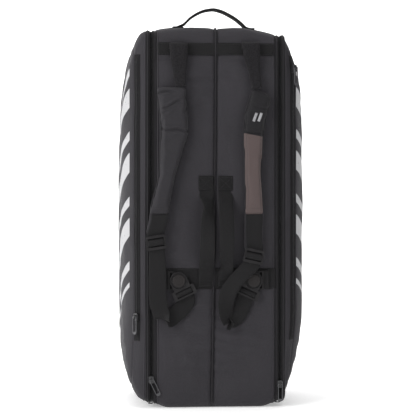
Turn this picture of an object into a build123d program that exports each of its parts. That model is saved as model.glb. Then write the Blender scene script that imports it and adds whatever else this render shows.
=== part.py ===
from build123d import *
import os
from math import cos, radians, sin, sqrt

os.makedirs("parts", exist_ok=True)

# Racket tournament bag, standing on its narrow end. Millimetres.
# +Z runs along the bag's length, -Y is the strap side, X is across the two compartments.
# The origin is the middle of the base, between the two compartments.

# ---- driving dimensions ----
LENGTH = 770.0          # base to top end panel, room for a 686 mm racket
DEPTH = 330.0           # strap side to far side
SEAM = 124.0            # half width of the sewn gusset that carries the straps
ZIP_X = 131.0           # half distance between the two main zippers
COVER_X = 138.0         # where a side cover starts
BULGE_X = 190.0         # half width over the full side pockets
WALL = 5.0              # fabric, foam and lining of a gusset panel
SHELL = 4.0             # side pocket wall
DIVIDER = 6.0           # padded partition between the compartments
WEB = 1.6               # webbing thickness
GAP = 0.2               # air between a coil half and its mate, and round a loose panel

FRONT = -DEPTH / 2
BACK = DEPTH / 2
CORNERS = (18.0, 60.0, 80.0, 20.0)   # radii: front low, back low, back high, front high
END_RISE = 12.0         # how far the base curves up to the zipper
END_DROP = 4.0          # how far the top curves down to the zipper
FLAT_X = 92.0           # half width of the flat part of an end panel
TOP_SEAM_Z = 708.0      # where a top end panel is sewn to the panels below it
BASE_SEAM_Z = 50.0

BAND_LOW_Z = 241.0      # lower cross band, 42 mm webbing
BAND_LOW_H = 42.0
BAND_HIGH_Z = 714.5     # upper cross band, 25 mm webbing
BAND_HIGH_H = 25.0
BAND_HIGH_X = 92.0
PIPING = 2.5            # half width of the centre binding
PIPING_PROUD = 3.0

HUB_X = 76.0            # swivel buckle pivot
HUB_Z = 258.0
PIVOT_R = 5.0
PIVOT_CLEARANCE = 0.05
SWIVEL_LEAN = 25.5      # how far each swivel points inwards, in degrees
SWIVEL_W = 48.0
SWIVEL_T = 4.4
BOSS_R = 18.0           # round part of a swivel plate
RING = (14.0, 15.2)     # groove round the boss, and its depth
RING_DEPTH = 0.8
SWIVEL_FRAME = (16.5, 36.5)   # slot frame, from and to, below the pivot

LOCK_W = 40.0           # ladder lock
LOCK_H = 29.0
LOCK_T = 4.0
STRAP_WEB = 32.0        # shoulder strap webbing width

HANDLE_HALF = 73.0      # top handle foot to middle
HANDLE_W = 25.0
HANDLE_T = 3.5
HANDLE_Y = -131.0
HANDLE_RISE = 42.0
HANDLE_START = 12.0     # the stiff arch starts this far above the panel

CARRY_X = 19.5          # carry handle, axis to the middle of the bag
CARRY_W = 30.0
CARRY_T = 2.4
CARRY_ENDS = (285.0, 432.0)
CARRY_BULGE = 38.0
CARRY_START = 12.0

SLIDER_W = 11.0
SLIDER_L = 15.0
SLIDER_T = 6.0
SLIDER_AIR = 0.4        # between a slider and the coils below it
COIL_IN = 2.4           # how far the main coils lie below the panels' outline
COIL_W = 3.0
BAIL_OUT = 3.8
BAIL_IN = 2.6
BAIL_W = 3.0
PULL_L = 33.0
PULL_W = 9.4
PULL_RAIL = 1.3
PULL_T = 2.0
PULL_WINDOW = 30.0      # open part of a pull, below its cross bar
PULL_BAR_R = 1.2
FRONT_SLIDER_Z = {"left": 58.0, "right": 47.0}
FRONT_PULL_LEAN = {"left": 26.0, "right": 0.0}
END_SLIDER_Y = -100.0
POCKET_SLIDER_Z = {"left": 185.0, "right": 690.0}

SIGN = {"left": -1, "right": 1}


def save(name, shape):
    export_step(shape, f"parts/{name}.step")


def block(x, y, z):
    """Box from its low and high values on each axis."""
    size = [high - low for low, high in (x, y, z)]
    middle = [(high + low) / 2 for low, high in (x, y, z)]
    return Pos(*middle) * Box(*size)


def outline(x, front, back, low, high, radii):
    """Rounded outline of the bag's large side, in the plane of this x."""
    fl, bl, bh, fh = radii
    pull = 1 - sqrt(0.5)
    edges = [
        Line((front + fl, low), (back - bl, low)),
        ThreePointArc((back - bl, low), (back - bl * pull, low + bl * pull), (back, low + bl)),
        Line((back, low + bl), (back, high - bh)),
        ThreePointArc((back, high - bh), (back - bh * pull, high - bh * pull), (back - bh, high)),
        Line((back - bh, high), (front + fh, high)),
        ThreePointArc((front + fh, high), (front + fh * pull, high - fh * pull), (front, high - fh)),
        Line((front, high - fh), (front, low + fl)),
        ThreePointArc((front, low + fl), (front + fl * pull, low + fl * pull), (front + fl, low)),
    ]
    return Plane.YZ.offset(x) * Face(Wire(edges))


def bag_outline(x, inset, rise=0.0, drop=0.0):
    """The bag's own outline, moved inwards by inset, with its two ends closer by rise and drop."""
    radii = [max(r - inset, 2.0) for r in CORNERS]
    return outline(x, FRONT + inset, BACK - inset, rise + inset, LENGTH - drop - inset, radii)


def zip_outline(x, inset):
    return bag_outline(x, inset, END_RISE, END_DROP)


def rim(x_low, x_high, outer_inset, inner_inset):
    """A hoop that follows the zipper's outline."""
    outer = extrude(zip_outline(x_low, outer_inset), x_high - x_low)
    inner = extrude(zip_outline(x_low - 1, inner_inset), x_high - x_low + 2)
    return outer - inner


def plate(points, y_low, y_high, edge_radius=0.0):
    """Flat piece facing the strap side, from its corners as (x, z)."""
    face = Plane.XZ * Face(Wire.make_polygon(points, close=True))
    if edge_radius:
        face = fillet(face.vertices(), edge_radius)
    return Pos(0, y_high, 0) * extrude(face, y_high - y_low)


def place(piece, side):
    """A right-hand piece, or its mirror image for the left."""
    return piece if side == "right" else mirror(piece, about=Plane.YZ)


# ---- gusset panels: the sewn body of both compartments ----
def gusset():
    levels = [(DIVIDER / 2, 0, 0), (FLAT_X, 0, 0), (112.0, 2.5, 1.0), (SEAM, 8.5, 3.0)]
    outer = loft([bag_outline(x, 0, rise, drop) for x, rise, drop in levels], ruled=True)
    levels[0] = (DIVIDER / 2 - 1, 0, 0)
    levels[-1] = (SEAM + 1, 9.0, 3.2)
    inner = loft([bag_outline(x, WALL, rise, drop) for x, rise, drop in levels], ruled=True)
    return outer - inner


def make_gussets():
    ring = gusset()
    wide = (-1.0, SEAM + 1)
    cuts = {
        "bottom_end": block(wide, (FRONT - 1, BACK + 1), (-1, BASE_SEAM_Z)),
        "top_end": block(wide, (FRONT - 1, BACK + 1), (TOP_SEAM_Z, LENGTH + 1)),
        "spine_panel": block(wide, (FRONT - 1, 0), (BASE_SEAM_Z, TOP_SEAM_Z)),
        "back_panel": block(wide, (0, BACK + 1), (BASE_SEAM_Z, TOP_SEAM_Z)),
    }
    for name, cut in cuts.items():
        piece = ring & cut
        for side in SIGN:
            save(f"{name}_{side}", place(piece, side))


def make_middle():
    divider = extrude(bag_outline(-DIVIDER / 2, 0), DIVIDER)
    save("centre_divider", divider)
    hoop = extrude(bag_outline(-PIPING, -PIPING_PROUD), 2 * PIPING)
    hoop -= extrude(bag_outline(-PIPING - 1, 0), 2 * PIPING + 2)
    kept = block((-5, 5), (FRONT - 9, 60), (32, LENGTH + 9))
    save("centre_piping", hoop & kept)


def make_inner_parts():
    inside = FRONT + WALL
    board_t = 2.0
    spine = block((8, 114), (inside, inside + board_t), (60, 700))
    base = block((8, 86), (-120, 90), (WALL, WALL + board_t))
    tie = block((DIVIDER / 2, DIVIDER / 2 + WEB), (-70, 70), (300, 325))
    for name, piece in (("spine_boards", spine), ("base_boards", base), ("racket_ties", tie)):
        save(name, Compound([place(piece, "right"), place(piece, "left")]))


# ---- main zippers ----
def make_zippers():
    front_half = block((0, 400), (FRONT - 9, 105), (-9, LENGTH + 9))
    coil = (COIL_IN, WALL)
    tape = (WALL, WALL + 1.2)
    body_side = [
        rim(116.0, ZIP_X - GAP, *tape),
        rim(ZIP_X - GAP - COIL_W, ZIP_X - GAP, *coil),
    ]
    cover_side = [
        rim(ZIP_X + GAP, COVER_X + 0.8, *tape),
        rim(ZIP_X + GAP, ZIP_X + GAP + COIL_W, *coil),
    ]
    for name, pieces in (("zipper_body", body_side), ("zipper_cover", cover_side)):
        halves = [piece & front_half for piece in pieces]
        for side in SIGN:
            save(f"{name}_{side}", Compound([place(piece, side) for piece in halves]))


# ---- side covers with their accessory pockets ----
# level x, then how far the outline has moved in at the front and back, at the base and at the top
POCKET_LEVELS = [
    (COVER_X, 0.0, 0.0, 0.0),
    (152.0, 5.0, 8.0, 5.0),
    (165.0, 16.0, 32.0, 30.0),
    (176.0, 34.0, 64.0, 75.0),
    (184.0, 60.0, 125.0, 130.0),
    (BULGE_X, 100.0, 190.0, 230.0),
]


def pocket_level(x, side_in, low_in, high_in, shift_x, wall):
    radii = [r + 0.35 * side_in for r in CORNERS]
    radii = [max(min(r, DEPTH / 2 - side_in - wall - 1) - wall, 2.0) for r in radii]
    return outline(
        x - shift_x,
        FRONT + side_in + wall,
        BACK - side_in - wall,
        END_RISE + low_in + wall,
        LENGTH - END_DROP - high_in - wall,
        radii,
    )


def make_covers():
    outer = loft([pocket_level(*level, 0, 0) for level in POCKET_LEVELS], ruled=True)
    hollow_levels = [pocket_level(*level, SHELL, SHELL) for level in POCKET_LEVELS]
    shell = outer - loft(hollow_levels, ruled=True)
    panel = extrude(zip_outline(COVER_X + 1, SHELL + GAP), 4.0)
    shell -= extrude(zip_outline(COVER_X - 1, SHELL), 6.0)
    for side in SIGN:
        save(f"pocket_shell_{side}", place(shell, side))
        save(f"cover_panel_{side}", place(panel, side))
    axis_strip = block((112, 134), (BACK, BACK + 1.2), (90, 680))
    save("hinge_tapes", Compound([place(axis_strip, s) for s in SIGN]))


# Slope of the cover's front facet, where the pocket zipper is sewn.
FACET_A = (POCKET_LEVELS[1][0], FRONT + POCKET_LEVELS[1][1])
FACET_B = (POCKET_LEVELS[2][0], FRONT + POCKET_LEVELS[2][1])
FACET_MID = ((FACET_A[0] + FACET_B[0]) / 2, (FACET_A[1] + FACET_B[1]) / 2)


def facet_plane(z):
    """Plane on the front facet of the right cover: its normal points outwards, its y runs up."""
    along = Vector(FACET_B[0] - FACET_A[0], FACET_B[1] - FACET_A[1], 0).normalized()
    normal = along.cross(Vector(0, 0, 1))
    return Plane(origin=(*FACET_MID, z), x_dir=along, z_dir=normal)


POCKET_COIL_T = 1.4
POCKET_ZIP = (150.0, 704.0)


def make_pocket_zips():
    length = POCKET_ZIP[1] - POCKET_ZIP[0]
    strip = extrude(Rectangle(6.0, length), POCKET_COIL_T)
    strip = facet_plane(sum(POCKET_ZIP) / 2) * strip
    for side in SIGN:
        save(f"pocket_zip_{side}", place(strip, side))


# ---- zipper sliders and pulls, made lying on the plane z = 0 with the track along y ----
BAIL_Z = SLIDER_T + 1.6


def slider():
    body = extrude(RectangleRounded(SLIDER_W, SLIDER_L, 3.0), SLIDER_T)
    body = fillet(body.edges().group_by(Axis.Z)[-1], 1.2)
    ring = extrude(Circle(BAIL_OUT) - Circle(BAIL_IN), BAIL_W / 2, both=True)
    bail = Pos(0, 0, BAIL_Z) * Rot(0, 90, 0) * ring
    return body + (bail & block((-9, 9), (-9, 9), (SLIDER_T - 0.5, 99)))


def pull():
    """Pull that hangs towards -y from its cross bar on the bail's centre: a rim with a thin grip web."""
    length = PULL_L + PULL_W / 2
    outer = Pos(0, -PULL_L / 2) * SlotOverall(length, PULL_W, rotation=90)
    inner = Pos(0, -PULL_L / 2) * SlotOverall(length - 2 * PULL_RAIL, PULL_W - 2 * PULL_RAIL, rotation=90)
    frame = extrude(outer - inner, PULL_T / 2, both=True)
    web = extrude(inner, PULL_T / 4, both=True) & block((-9, 9), (-length, -PULL_WINDOW), (-9, 9))
    frame = (frame + web) & block((-9, 9), (-PULL_L - 9, 0), (-9, 9))
    bar = Rot(0, 90, 0) * Cylinder(PULL_BAR_R, PULL_W - 1.0)
    return Pos(0, 0, BAIL_Z) * (frame + bar)


def track_plane(origin, normal, up):
    """Plane for a slider: z out of the bag, y along the track away from the pull."""
    normal, up = Vector(*normal), Vector(*up)
    return Plane(origin=origin, x_dir=up.cross(normal), z_dir=normal)


def leaning(piece, degrees):
    return Pos(0, 0, BAIL_Z) * Rot(0, 0, degrees) * Pos(0, 0, -BAIL_Z) * piece


def make_sliders():
    sunk = COIL_IN - SLIDER_AIR
    end_track = track_plane((ZIP_X, END_SLIDER_Y, END_RISE + sunk), (0, 0, -1), (0, 1, 0))
    for side in SIGN:
        front_at = (ZIP_X, FRONT + sunk, FRONT_SLIDER_Z[side])
        front_track = track_plane(front_at, (0, -1, 0), (0, 0, 1))
        save(f"slider_front_{side}", place(front_track * slider(), side))
        save(f"pull_front_{side}", place(front_track * leaning(pull(), -FRONT_PULL_LEAN[side]), side))
        save(f"slider_end_{side}", place(end_track * slider(), side))
        save(f"pull_end_{side}", place(end_track * pull(), side))
        facet = facet_plane(POCKET_SLIDER_Z[side])
        lifted = facet * Pos(0, 0, POCKET_COIL_T + SLIDER_AIR)
        save(f"slider_pocket_{side}", place(lifted * slider(), side))
        save(f"pull_pocket_{side}", place(lifted * pull(), side))


# ---- webbing sewn on the strap side ----
def make_bands():
    low = block((DIVIDER / 2, 122), (FRONT - WEB, FRONT), (BAND_LOW_Z, BAND_LOW_Z + BAND_LOW_H))
    high_z = (BAND_HIGH_Z, BAND_HIGH_Z + BAND_HIGH_H)
    high = block((DIVIDER / 2, BAND_HIGH_X), (FRONT - WEB, FRONT), high_z)
    save("lower_band", Compound([place(low, s) for s in SIGN]))
    save("upper_band", Compound([place(high, s) for s in SIGN]))


def make_carry_handles():
    low, high = CARRY_ENDS
    middle_z = (low + high) / 2
    half = (high - low) / 2
    radius = (half ** 2 + CARRY_BULGE ** 2) / (2 * CARRY_BULGE)
    centre = (FRONT - CARRY_BULGE + radius, middle_z)
    ring = Plane.YZ * Pos(*centre) * (Circle(radius) - Circle(radius - CARRY_T))
    arch = extrude(ring, CARRY_W / 2, both=True)
    arch &= block((-99, 99), (-400, FRONT - CARRY_START), (low, high))
    patch_high = block((-CARRY_W / 2, CARRY_W / 2), (FRONT - WEB, FRONT), (high + 8, high + 38))
    low_y = (FRONT - 2 * WEB, FRONT - WEB)
    low_z = (BAND_LOW_Z + 4, BAND_LOW_Z + BAND_LOW_H)
    patch_low = block((-CARRY_W / 2, CARRY_W / 2), low_y, low_z)
    patches = []
    for side, sign in SIGN.items():
        save(f"carry_handle_{side}", Pos(sign * CARRY_X, 0, 0) * arch)
        patches += [Pos(sign * CARRY_X, 0, 0) * patch for patch in (patch_high, patch_low)]
    save("carry_patches", Compound(patches))


def make_top_handle():
    radius = (HANDLE_HALF ** 2 + HANDLE_RISE ** 2) / (2 * HANDLE_RISE)
    ring = Plane.XZ * Pos(0, LENGTH + HANDLE_RISE - radius) * (Circle(radius) - Circle(radius - HANDLE_T))
    arch = Pos(0, HANDLE_Y, 0) * extrude(ring, HANDLE_W / 2, both=True)
    arch &= block((-99, 99), (-400, 400), (LENGTH + HANDLE_START, LENGTH + 99))
    save("top_handle", arch)
    tail_y = (HANDLE_Y - HANDLE_W / 2, HANDLE_Y + HANDLE_W / 2)
    tail = block((HANDLE_HALF - 6, FLAT_X), tail_y, (LENGTH, LENGTH + WEB))
    save("top_handle_tails", Compound([place(tail, s) for s in SIGN]))


# ---- swivel buckles ----
BASE_T = 4.0
TAB_END_X = 108.0       # clear of a leaning slider pull
BASE_Y = FRONT - WEB                    # back of a swivel base, on the lower band
PLATE_Y = BASE_Y - BASE_T - 0.6         # back of a swivel plate


def face_on(y, sketch, thickness):
    """A sketch in x and z, standing out of the strap side from this y."""
    return Pos(0, y, 0) * extrude(Plane.XZ * sketch, thickness)


def make_swivels():
    bar_x = 20.0
    bar = Pos(bar_x - 3.5, 0) * Rectangle(9.0, 38.0)
    outline_face = make_hull(bar.edges() + Circle(15.0).edges())
    window = Pos(bar_x - 4.5, 0) * Rectangle(4.0, 33.0)
    base = Pos(HUB_X, 0, HUB_Z) * face_on(BASE_Y, outline_face - window, BASE_T)
    rivet = face_on(BASE_Y - BASE_T, Circle(PIVOT_R), SWIVEL_T + 1.6)
    cap = face_on(BASE_Y - BASE_T - SWIVEL_T - 1.6, Circle(12.5), 2.6)
    cap = fillet(cap.edges().sort_by(Axis.Y)[0], 1.2)
    rivet = Pos(HUB_X, 0, HUB_Z) * (rivet + cap)
    near, far = SWIVEL_FRAME
    frame = Pos(0, -(near + far) / 2) * RectangleRounded(SWIVEL_W, far - near, 3.0)
    arms = make_hull((Circle(BOSS_R).edges() + (Pos(0, -near - 2) * Rectangle(34.0, 4.0)).edges()))
    slots = [Pos(0, -at) * Rectangle(35.0, 3.8) for at in (near + 5.6, far - 5.6)]
    face = frame + arms - Circle(PIVOT_R + PIVOT_CLEARANCE) - slots[0] - slots[1]
    ring = face_on(PLATE_Y - SWIVEL_T + RING_DEPTH, Circle(RING[1]) - Circle(RING[0]), 2 * RING_DEPTH)
    plate_solid = face_on(PLATE_Y, face, SWIVEL_T) - ring
    swivel = Pos(HUB_X, 0, HUB_Z) * Rot(0, SWIVEL_LEAN, 0) * plate_solid
    tab = block((HUB_X + bar_x + 1.2, TAB_END_X), (BASE_Y - BASE_T, BASE_Y), (BAND_LOW_Z, BAND_LOW_Z + 38))
    save("swivel_bases", Compound([place(base, s) for s in SIGN]))
    save("swivel_rivets", Compound([place(rivet, s) for s in SIGN]))
    save("buckle_tabs", Compound([place(tab, s) for s in SIGN]))
    for side in SIGN:
        save(f"swivel_plate_{side}", place(swivel, side))


# ---- shoulder straps: outlines as (x, z) down one side and up the other ----
PAD_Y = (FRONT - 23.0, FRONT - 11.0)
PAD = {
    "left": [
        (-122, 650), (-118, 560), (-122, 470), (-136, 389),
        (-96, 389), (-77, 470), (-53, 550), (-52, 590), (-62, 650),
    ],
    "right": [
        (73, 650), (52, 590), (49, 555), (53, 470), (57, 389),
        (94, 389), (95, 470), (101, 560), (111, 632),
    ],
}
UPPER_TOP = 720.5       # just below the folded anchor
ANCHOR_Z = 722.0
UPPER = {
    "left": [(-94, UPPER_TOP), (-88, 654), (-60, 654), (-57, UPPER_TOP)],
    "right": [(53, UPPER_TOP), (68, 654), (88, 654), (88, UPPER_TOP)],
}
UPPER_Y = (FRONT - 13.0, FRONT - 7.0)
ANCHOR_X = {"left": (-94.0, -57.0), "right": (52.0, 88.0)}
LOCK_AT = {"left": (-122.5, 335.5, -9.0), "right": (75.0, 307.5, 12.0)}    # x, z and turn in degrees
WEB_Y = (FRONT - 19.0, FRONT - 17.0)
LOCK_Y = (FRONT - 24.0, FRONT - 20.0)
TAIL_RUN = {
    "left": [(-138, 318), (-137, 205), (-122, 182), (-96, 174), (-100, 230), (-104, 318)],
    "right": [
        (58, 287), (38, 278), (8, 246), (0, 218), (8, 183),
        (18, 169), (31, 169), (33, 211), (46, 254), (80, 287),
    ],
}
TAIL_RETURN = {
    "left": [(-122, 182), (-96, 168), (-58, 178), (-46, 204), (-80, 210), (-96, 190)],
    "right": [(22, 169), (40, 168), (74, 190), (78, 206), (48, 209), (30, 188)],
}
TAIL_FOLD_X = {"left": (-120.0, -97.0), "right": (22.0, 31.0)}
TAIL_FOLD_Z = {"left": (174.0, 184.0), "right": (169.0, 175.0)}
TAIL_RUN_Y = (FRONT - 19.0, FRONT - 17.0)
TAIL_RETURN_Y = (FRONT - 5.8, FRONT - 3.8)


def make_straps():
    for side in SIGN:
        low, high = ANCHOR_X[side]
        anchor_z = (ANCHOR_Z, BAND_HIGH_Z + BAND_HIGH_H)
        save(f"strap_anchor_{side}", block((low, high), (FRONT - 5.6, FRONT - WEB), anchor_z))
        save(f"strap_upper_{side}", plate(UPPER[side], *UPPER_Y))
        save(f"strap_pad_{side}", plate(PAD[side], *PAD_Y, edge_radius=6.0))
        x, z, turn = LOCK_AT[side]
        pad_base = min(z for _, z in PAD[side])
        web_x = (x - STRAP_WEB / 2, x + STRAP_WEB / 2)
        save(f"strap_web_{side}", block(web_x, WEB_Y, (z + LOCK_H / 2 - 4, pad_base)))
        bars = RectangleRounded(LOCK_W, LOCK_H, 2.5)
        for at in (-7.0, 7.0):
            bars -= Pos(0, at) * Rectangle(33.0, 3.8)
        lock = face_on(LOCK_Y[1], bars, LOCK_T)
        save(f"ladder_lock_{side}", Pos(x, 0, z) * Rot(0, turn, 0) * lock)
        fold = block(TAIL_FOLD_X[side], (TAIL_RUN_Y[0], TAIL_RETURN_Y[1]), TAIL_FOLD_Z[side])
        run = plate(TAIL_RUN[side], *TAIL_RUN_Y)
        back_run = plate(TAIL_RETURN[side], *TAIL_RETURN_Y)
        save(f"strap_tail_{side}", run + back_run + fold)


make_gussets()
make_middle()
make_inner_parts()
make_zippers()
make_covers()
make_pocket_zips()
make_sliders()
make_bands()
make_carry_handles()
make_top_handle()
make_swivels()
make_straps()
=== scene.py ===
from math import cos, exp, pi, radians, sin, tau

import bmesh
import bpy
import numpy as np
from bpy.props import FloatProperty, FloatVectorProperty, PointerProperty
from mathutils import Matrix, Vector, noise
from mathutils.bvhtree import BVHTree


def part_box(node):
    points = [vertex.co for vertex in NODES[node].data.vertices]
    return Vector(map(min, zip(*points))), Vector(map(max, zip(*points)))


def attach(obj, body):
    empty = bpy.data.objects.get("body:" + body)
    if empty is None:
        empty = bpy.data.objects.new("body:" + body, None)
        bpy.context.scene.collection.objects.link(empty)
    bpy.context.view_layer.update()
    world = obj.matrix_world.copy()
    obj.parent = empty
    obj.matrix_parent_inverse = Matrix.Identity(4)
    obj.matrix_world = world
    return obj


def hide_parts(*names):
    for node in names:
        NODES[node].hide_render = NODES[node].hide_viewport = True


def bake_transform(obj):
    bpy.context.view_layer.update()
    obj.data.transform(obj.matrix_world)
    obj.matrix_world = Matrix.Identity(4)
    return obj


bl_info = {
    "name": "Racket Tournament Bag",
    "version": (1, 0, 0),
    "blender": (4, 5, 0),
    "location": "3D View > Sidebar > Racket Bag",
    "description": "Builds the fabric, webbing, zippers and studio of a racket tournament bag",
    "category": "Object",
}

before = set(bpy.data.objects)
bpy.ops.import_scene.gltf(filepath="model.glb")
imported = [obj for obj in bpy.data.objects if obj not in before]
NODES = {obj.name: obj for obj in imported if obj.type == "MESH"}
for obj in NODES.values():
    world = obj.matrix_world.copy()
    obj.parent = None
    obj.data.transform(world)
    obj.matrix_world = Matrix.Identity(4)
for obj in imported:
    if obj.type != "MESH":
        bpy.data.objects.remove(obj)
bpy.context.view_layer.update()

SIDES = {"left": -1, "right": 1}
MM = 0.001

# ---- places that come from the frame ----
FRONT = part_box("spine_panel_right")[0].y
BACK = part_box("centre_divider")[1].y
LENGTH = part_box("centre_divider")[1].z
HALF_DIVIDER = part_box("centre_divider")[1].x
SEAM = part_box("spine_panel_right")[1].x
BASE_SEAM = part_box("spine_panel_right")[0].z
TOP_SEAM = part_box("spine_panel_right")[1].z
COVER_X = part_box("pocket_shell_right")[0].x
ZIP_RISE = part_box("pocket_shell_right")[0].z
ZIP_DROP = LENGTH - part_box("pocket_shell_right")[1].z
ZIP_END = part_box("zipper_body_right")[1].y
BAND_LOW = (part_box("lower_band")[0].z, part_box("lower_band")[1].z)
BAND_HIGH = (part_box("upper_band")[0].z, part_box("upper_band")[1].z)
BAND_HIGH_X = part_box("upper_band")[1].x
WEB_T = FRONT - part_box("lower_band")[0].y
WALL = 4.6 * MM
CORNERS = (18 * MM, 60 * MM, 80 * MM, 20 * MM)     # front low, back low, back high, front high
INNER_X = 1.2 * MM       # where a panel meets the centre binding


def smoothstep(a, b, x):
    t = min(max((x - a) / (b - a), 0.0), 1.0)
    return t * t * (3 - 2 * t)


# ---- settings a user would change ----
class BagFabricSettings(bpy.types.PropertyGroup):
    puff: FloatProperty(
        name="Panel puff", description="How far a gusset panel bulges between its seams",
        default=4.5 * MM, min=0, max=12 * MM, unit="LENGTH")
    crease: FloatProperty(
        name="Crease depth", description="Depth of the soft creases in the panels",
        default=2.4 * MM, min=0, max=6 * MM, unit="LENGTH")
    step: FloatProperty(
        name="Mesh step", description="Size of a fabric mesh face",
        default=5 * MM, min=2 * MM, max=20 * MM, unit="LENGTH")
    shell: FloatVectorProperty(
        name="Shell colour", description="Woven polyester of the panels",
        default=(0.0285, 0.0265, 0.0308), subtype="COLOR", min=0, max=1)
    accent: FloatVectorProperty(
        name="Accent colour", description="Panel on the right shoulder strap",
        default=(0.091, 0.068, 0.066), subtype="COLOR", min=0, max=1)
    print_colour: FloatVectorProperty(
        name="Print colour", description="Slanted bars printed on the side pockets",
        default=(0.50, 0.50, 0.51), subtype="COLOR", min=0, max=1)


class BagTrimSettings(bpy.types.PropertyGroup):
    webbing: FloatVectorProperty(
        name="Webbing colour", description="Straps, bands and handles",
        default=(0.0115, 0.0110, 0.0117), subtype="COLOR", min=0, max=1)
    piping_radius: FloatProperty(
        name="Piping radius", description="Cord sewn into the panel edges",
        default=1.7 * MM, min=0.5 * MM, max=4 * MM, unit="LENGTH")
    coil_pitch: FloatProperty(
        name="Zipper pitch", description="Distance between two turns of a zipper coil",
        default=1.9 * MM, min=MM, max=4 * MM, unit="LENGTH")
    stitch_pitch: FloatProperty(
        name="Stitch pitch", description="Distance between two stitches",
        default=3.2 * MM, min=MM, max=8 * MM, unit="LENGTH")


class BagStageSettings(bpy.types.PropertyGroup):
    distance: FloatProperty(
        name="Camera distance", description="From the lens to the strap side",
        default=3.0, min=1, max=10, unit="LENGTH")
    azimuth: FloatProperty(
        name="Camera azimuth", description="Turn of the camera round the bag",
        default=radians(-5), subtype="ANGLE")
    view_width: FloatProperty(
        name="View width", description="Width of what the camera sees at the strap side",
        default=0.843, min=0.3, max=3, unit="LENGTH")


def settings():
    scene = bpy.context.scene
    return scene.bag_fabric, scene.bag_trim, scene.bag_stage


# ---- materials ----
class Nodes:
    """Short way to add and join shader nodes."""

    def __init__(self, name):
        self.material = bpy.data.materials.new(name)
        self.material.use_nodes = True
        self.tree = self.material.node_tree
        self.shader = self.tree.nodes["Principled BSDF"]

    def add(self, kind, **values):
        node = self.tree.nodes.new(kind)
        for key, value in values.items():
            setattr(node, key, value)
        return node

    def put(self, socket, value):
        if isinstance(value, bpy.types.NodeSocket):
            self.tree.links.new(value, socket)
        else:
            socket.default_value = value

    def math(self, operation, a, b=0.0, c=0.0):
        node = self.add("ShaderNodeMath", operation=operation)
        for socket, value in zip(node.inputs, (a, b, c)):
            self.put(socket, value)
        return node.outputs[0]

    def object_axes(self):
        coordinate = self.add("ShaderNodeTexCoord")
        split = self.add("ShaderNodeSeparateXYZ")
        self.put(split.inputs[0], coordinate.outputs["Object"])
        return coordinate.outputs["Object"], split.outputs

    def noise(self, vector, scale, detail=3.0, rough=0.55):
        node = self.add("ShaderNodeTexNoise")
        self.put(node.inputs["Vector"], vector)
        self.put(node.inputs["Scale"], scale)
        self.put(node.inputs["Detail"], detail)
        self.put(node.inputs["Roughness"], rough)
        return node.outputs["Fac"]

    def mix(self, factor, a, b):
        node = self.add("ShaderNodeMix", data_type="RGBA")
        self.put(node.inputs[0], factor)
        self.put(node.inputs[6], a if isinstance(a, bpy.types.NodeSocket) else (*a, 1))
        self.put(node.inputs[7], b if isinstance(b, bpy.types.NodeSocket) else (*b, 1))
        return node.outputs[2]

    def ramp(self, value, low, high):
        node = self.add("ShaderNodeMapRange")
        self.put(node.inputs[0], value)
        self.put(node.inputs[1], low)
        self.put(node.inputs[2], high)
        return node.outputs[0]

    def bump(self, height, distance, strength=1.0, under=None):
        node = self.add("ShaderNodeBump")
        self.put(node.inputs["Height"], height)
        self.put(node.inputs["Distance"], distance)
        self.put(node.inputs["Strength"], strength)
        if under is not None:
            self.put(node.inputs["Normal"], under)
        return node.outputs["Normal"]

    def finish(self, colour, roughness, normal=None, **constants):
        is_socket = isinstance(colour, bpy.types.NodeSocket)
        self.put(self.shader.inputs["Base Color"], colour if is_socket else (*colour, 1))
        self.put(self.shader.inputs["Roughness"], roughness)
        if normal is not None:
            self.put(self.shader.inputs["Normal"], normal)
        for key, value in constants.items():
            self.shader.inputs[key.replace("_", " ").title().replace("Ior", "IOR")].default_value = value
        return self.material


def shade(colour, factor):
    return tuple(min(c * factor, 1.0) for c in colour)


def lattice(nodes, axes, period):
    """Yarns along all three axes: on any flat face two of them cross."""
    waves = [nodes.math("SINE", nodes.math("MULTIPLY", axis, tau / period)) for axis in axes]
    return nodes.math("ADD", nodes.math("ADD", waves[0], waves[1]), waves[2])


def woven(name, colour, period=0.9 * MM, roughness=0.62, sheen=0.05, depth=0.07 * MM,
          mask=None, accent=None):
    """Coated plain-weave cloth. mask is a function that gives a 0 to 1 socket for a second colour."""
    nodes = Nodes(name)
    place, axes = nodes.object_axes()
    patches = nodes.noise(place, 11.0, 4.0)
    yarn = nodes.noise(place, 620.0, 2.0)
    base = nodes.mix(nodes.ramp(patches, 0.3, 0.7), shade(colour, 0.86), shade(colour, 1.12))
    base = nodes.mix(nodes.ramp(yarn, 0.35, 0.75), base, shade(colour, 1.3))
    if mask is not None:
        base = nodes.mix(mask(nodes, axes, place), base, accent)
    weave = nodes.bump(lattice(nodes, axes, period), depth, 0.8)
    soft = nodes.bump(nodes.noise(place, 34.0, 5.0, 0.6), 1.1 * MM, 0.55, weave)
    rough = nodes.math("MULTIPLY_ADD", patches, 0.16, roughness - 0.08)
    return nodes.finish(base, rough, soft, sheen_weight=sheen, sheen_roughness=0.45, specular_ior_level=0.2)


BAR_SLOPE = 0.62
BAR_PERIOD = 131 * MM
BAR_WIDE = 0.30          # shares of a period
BAR_THIN = (0.56, 0.07)  # middle and half width
PRINT_RISE = (160 * MM, 620 * MM)
PRINT_DEPTH = (-150 * MM, 85 * MM)
PRINT_X = (3.5 * MM, 170.5 * MM)     # the printed face lies past this x, counted from a shifted middle


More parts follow.
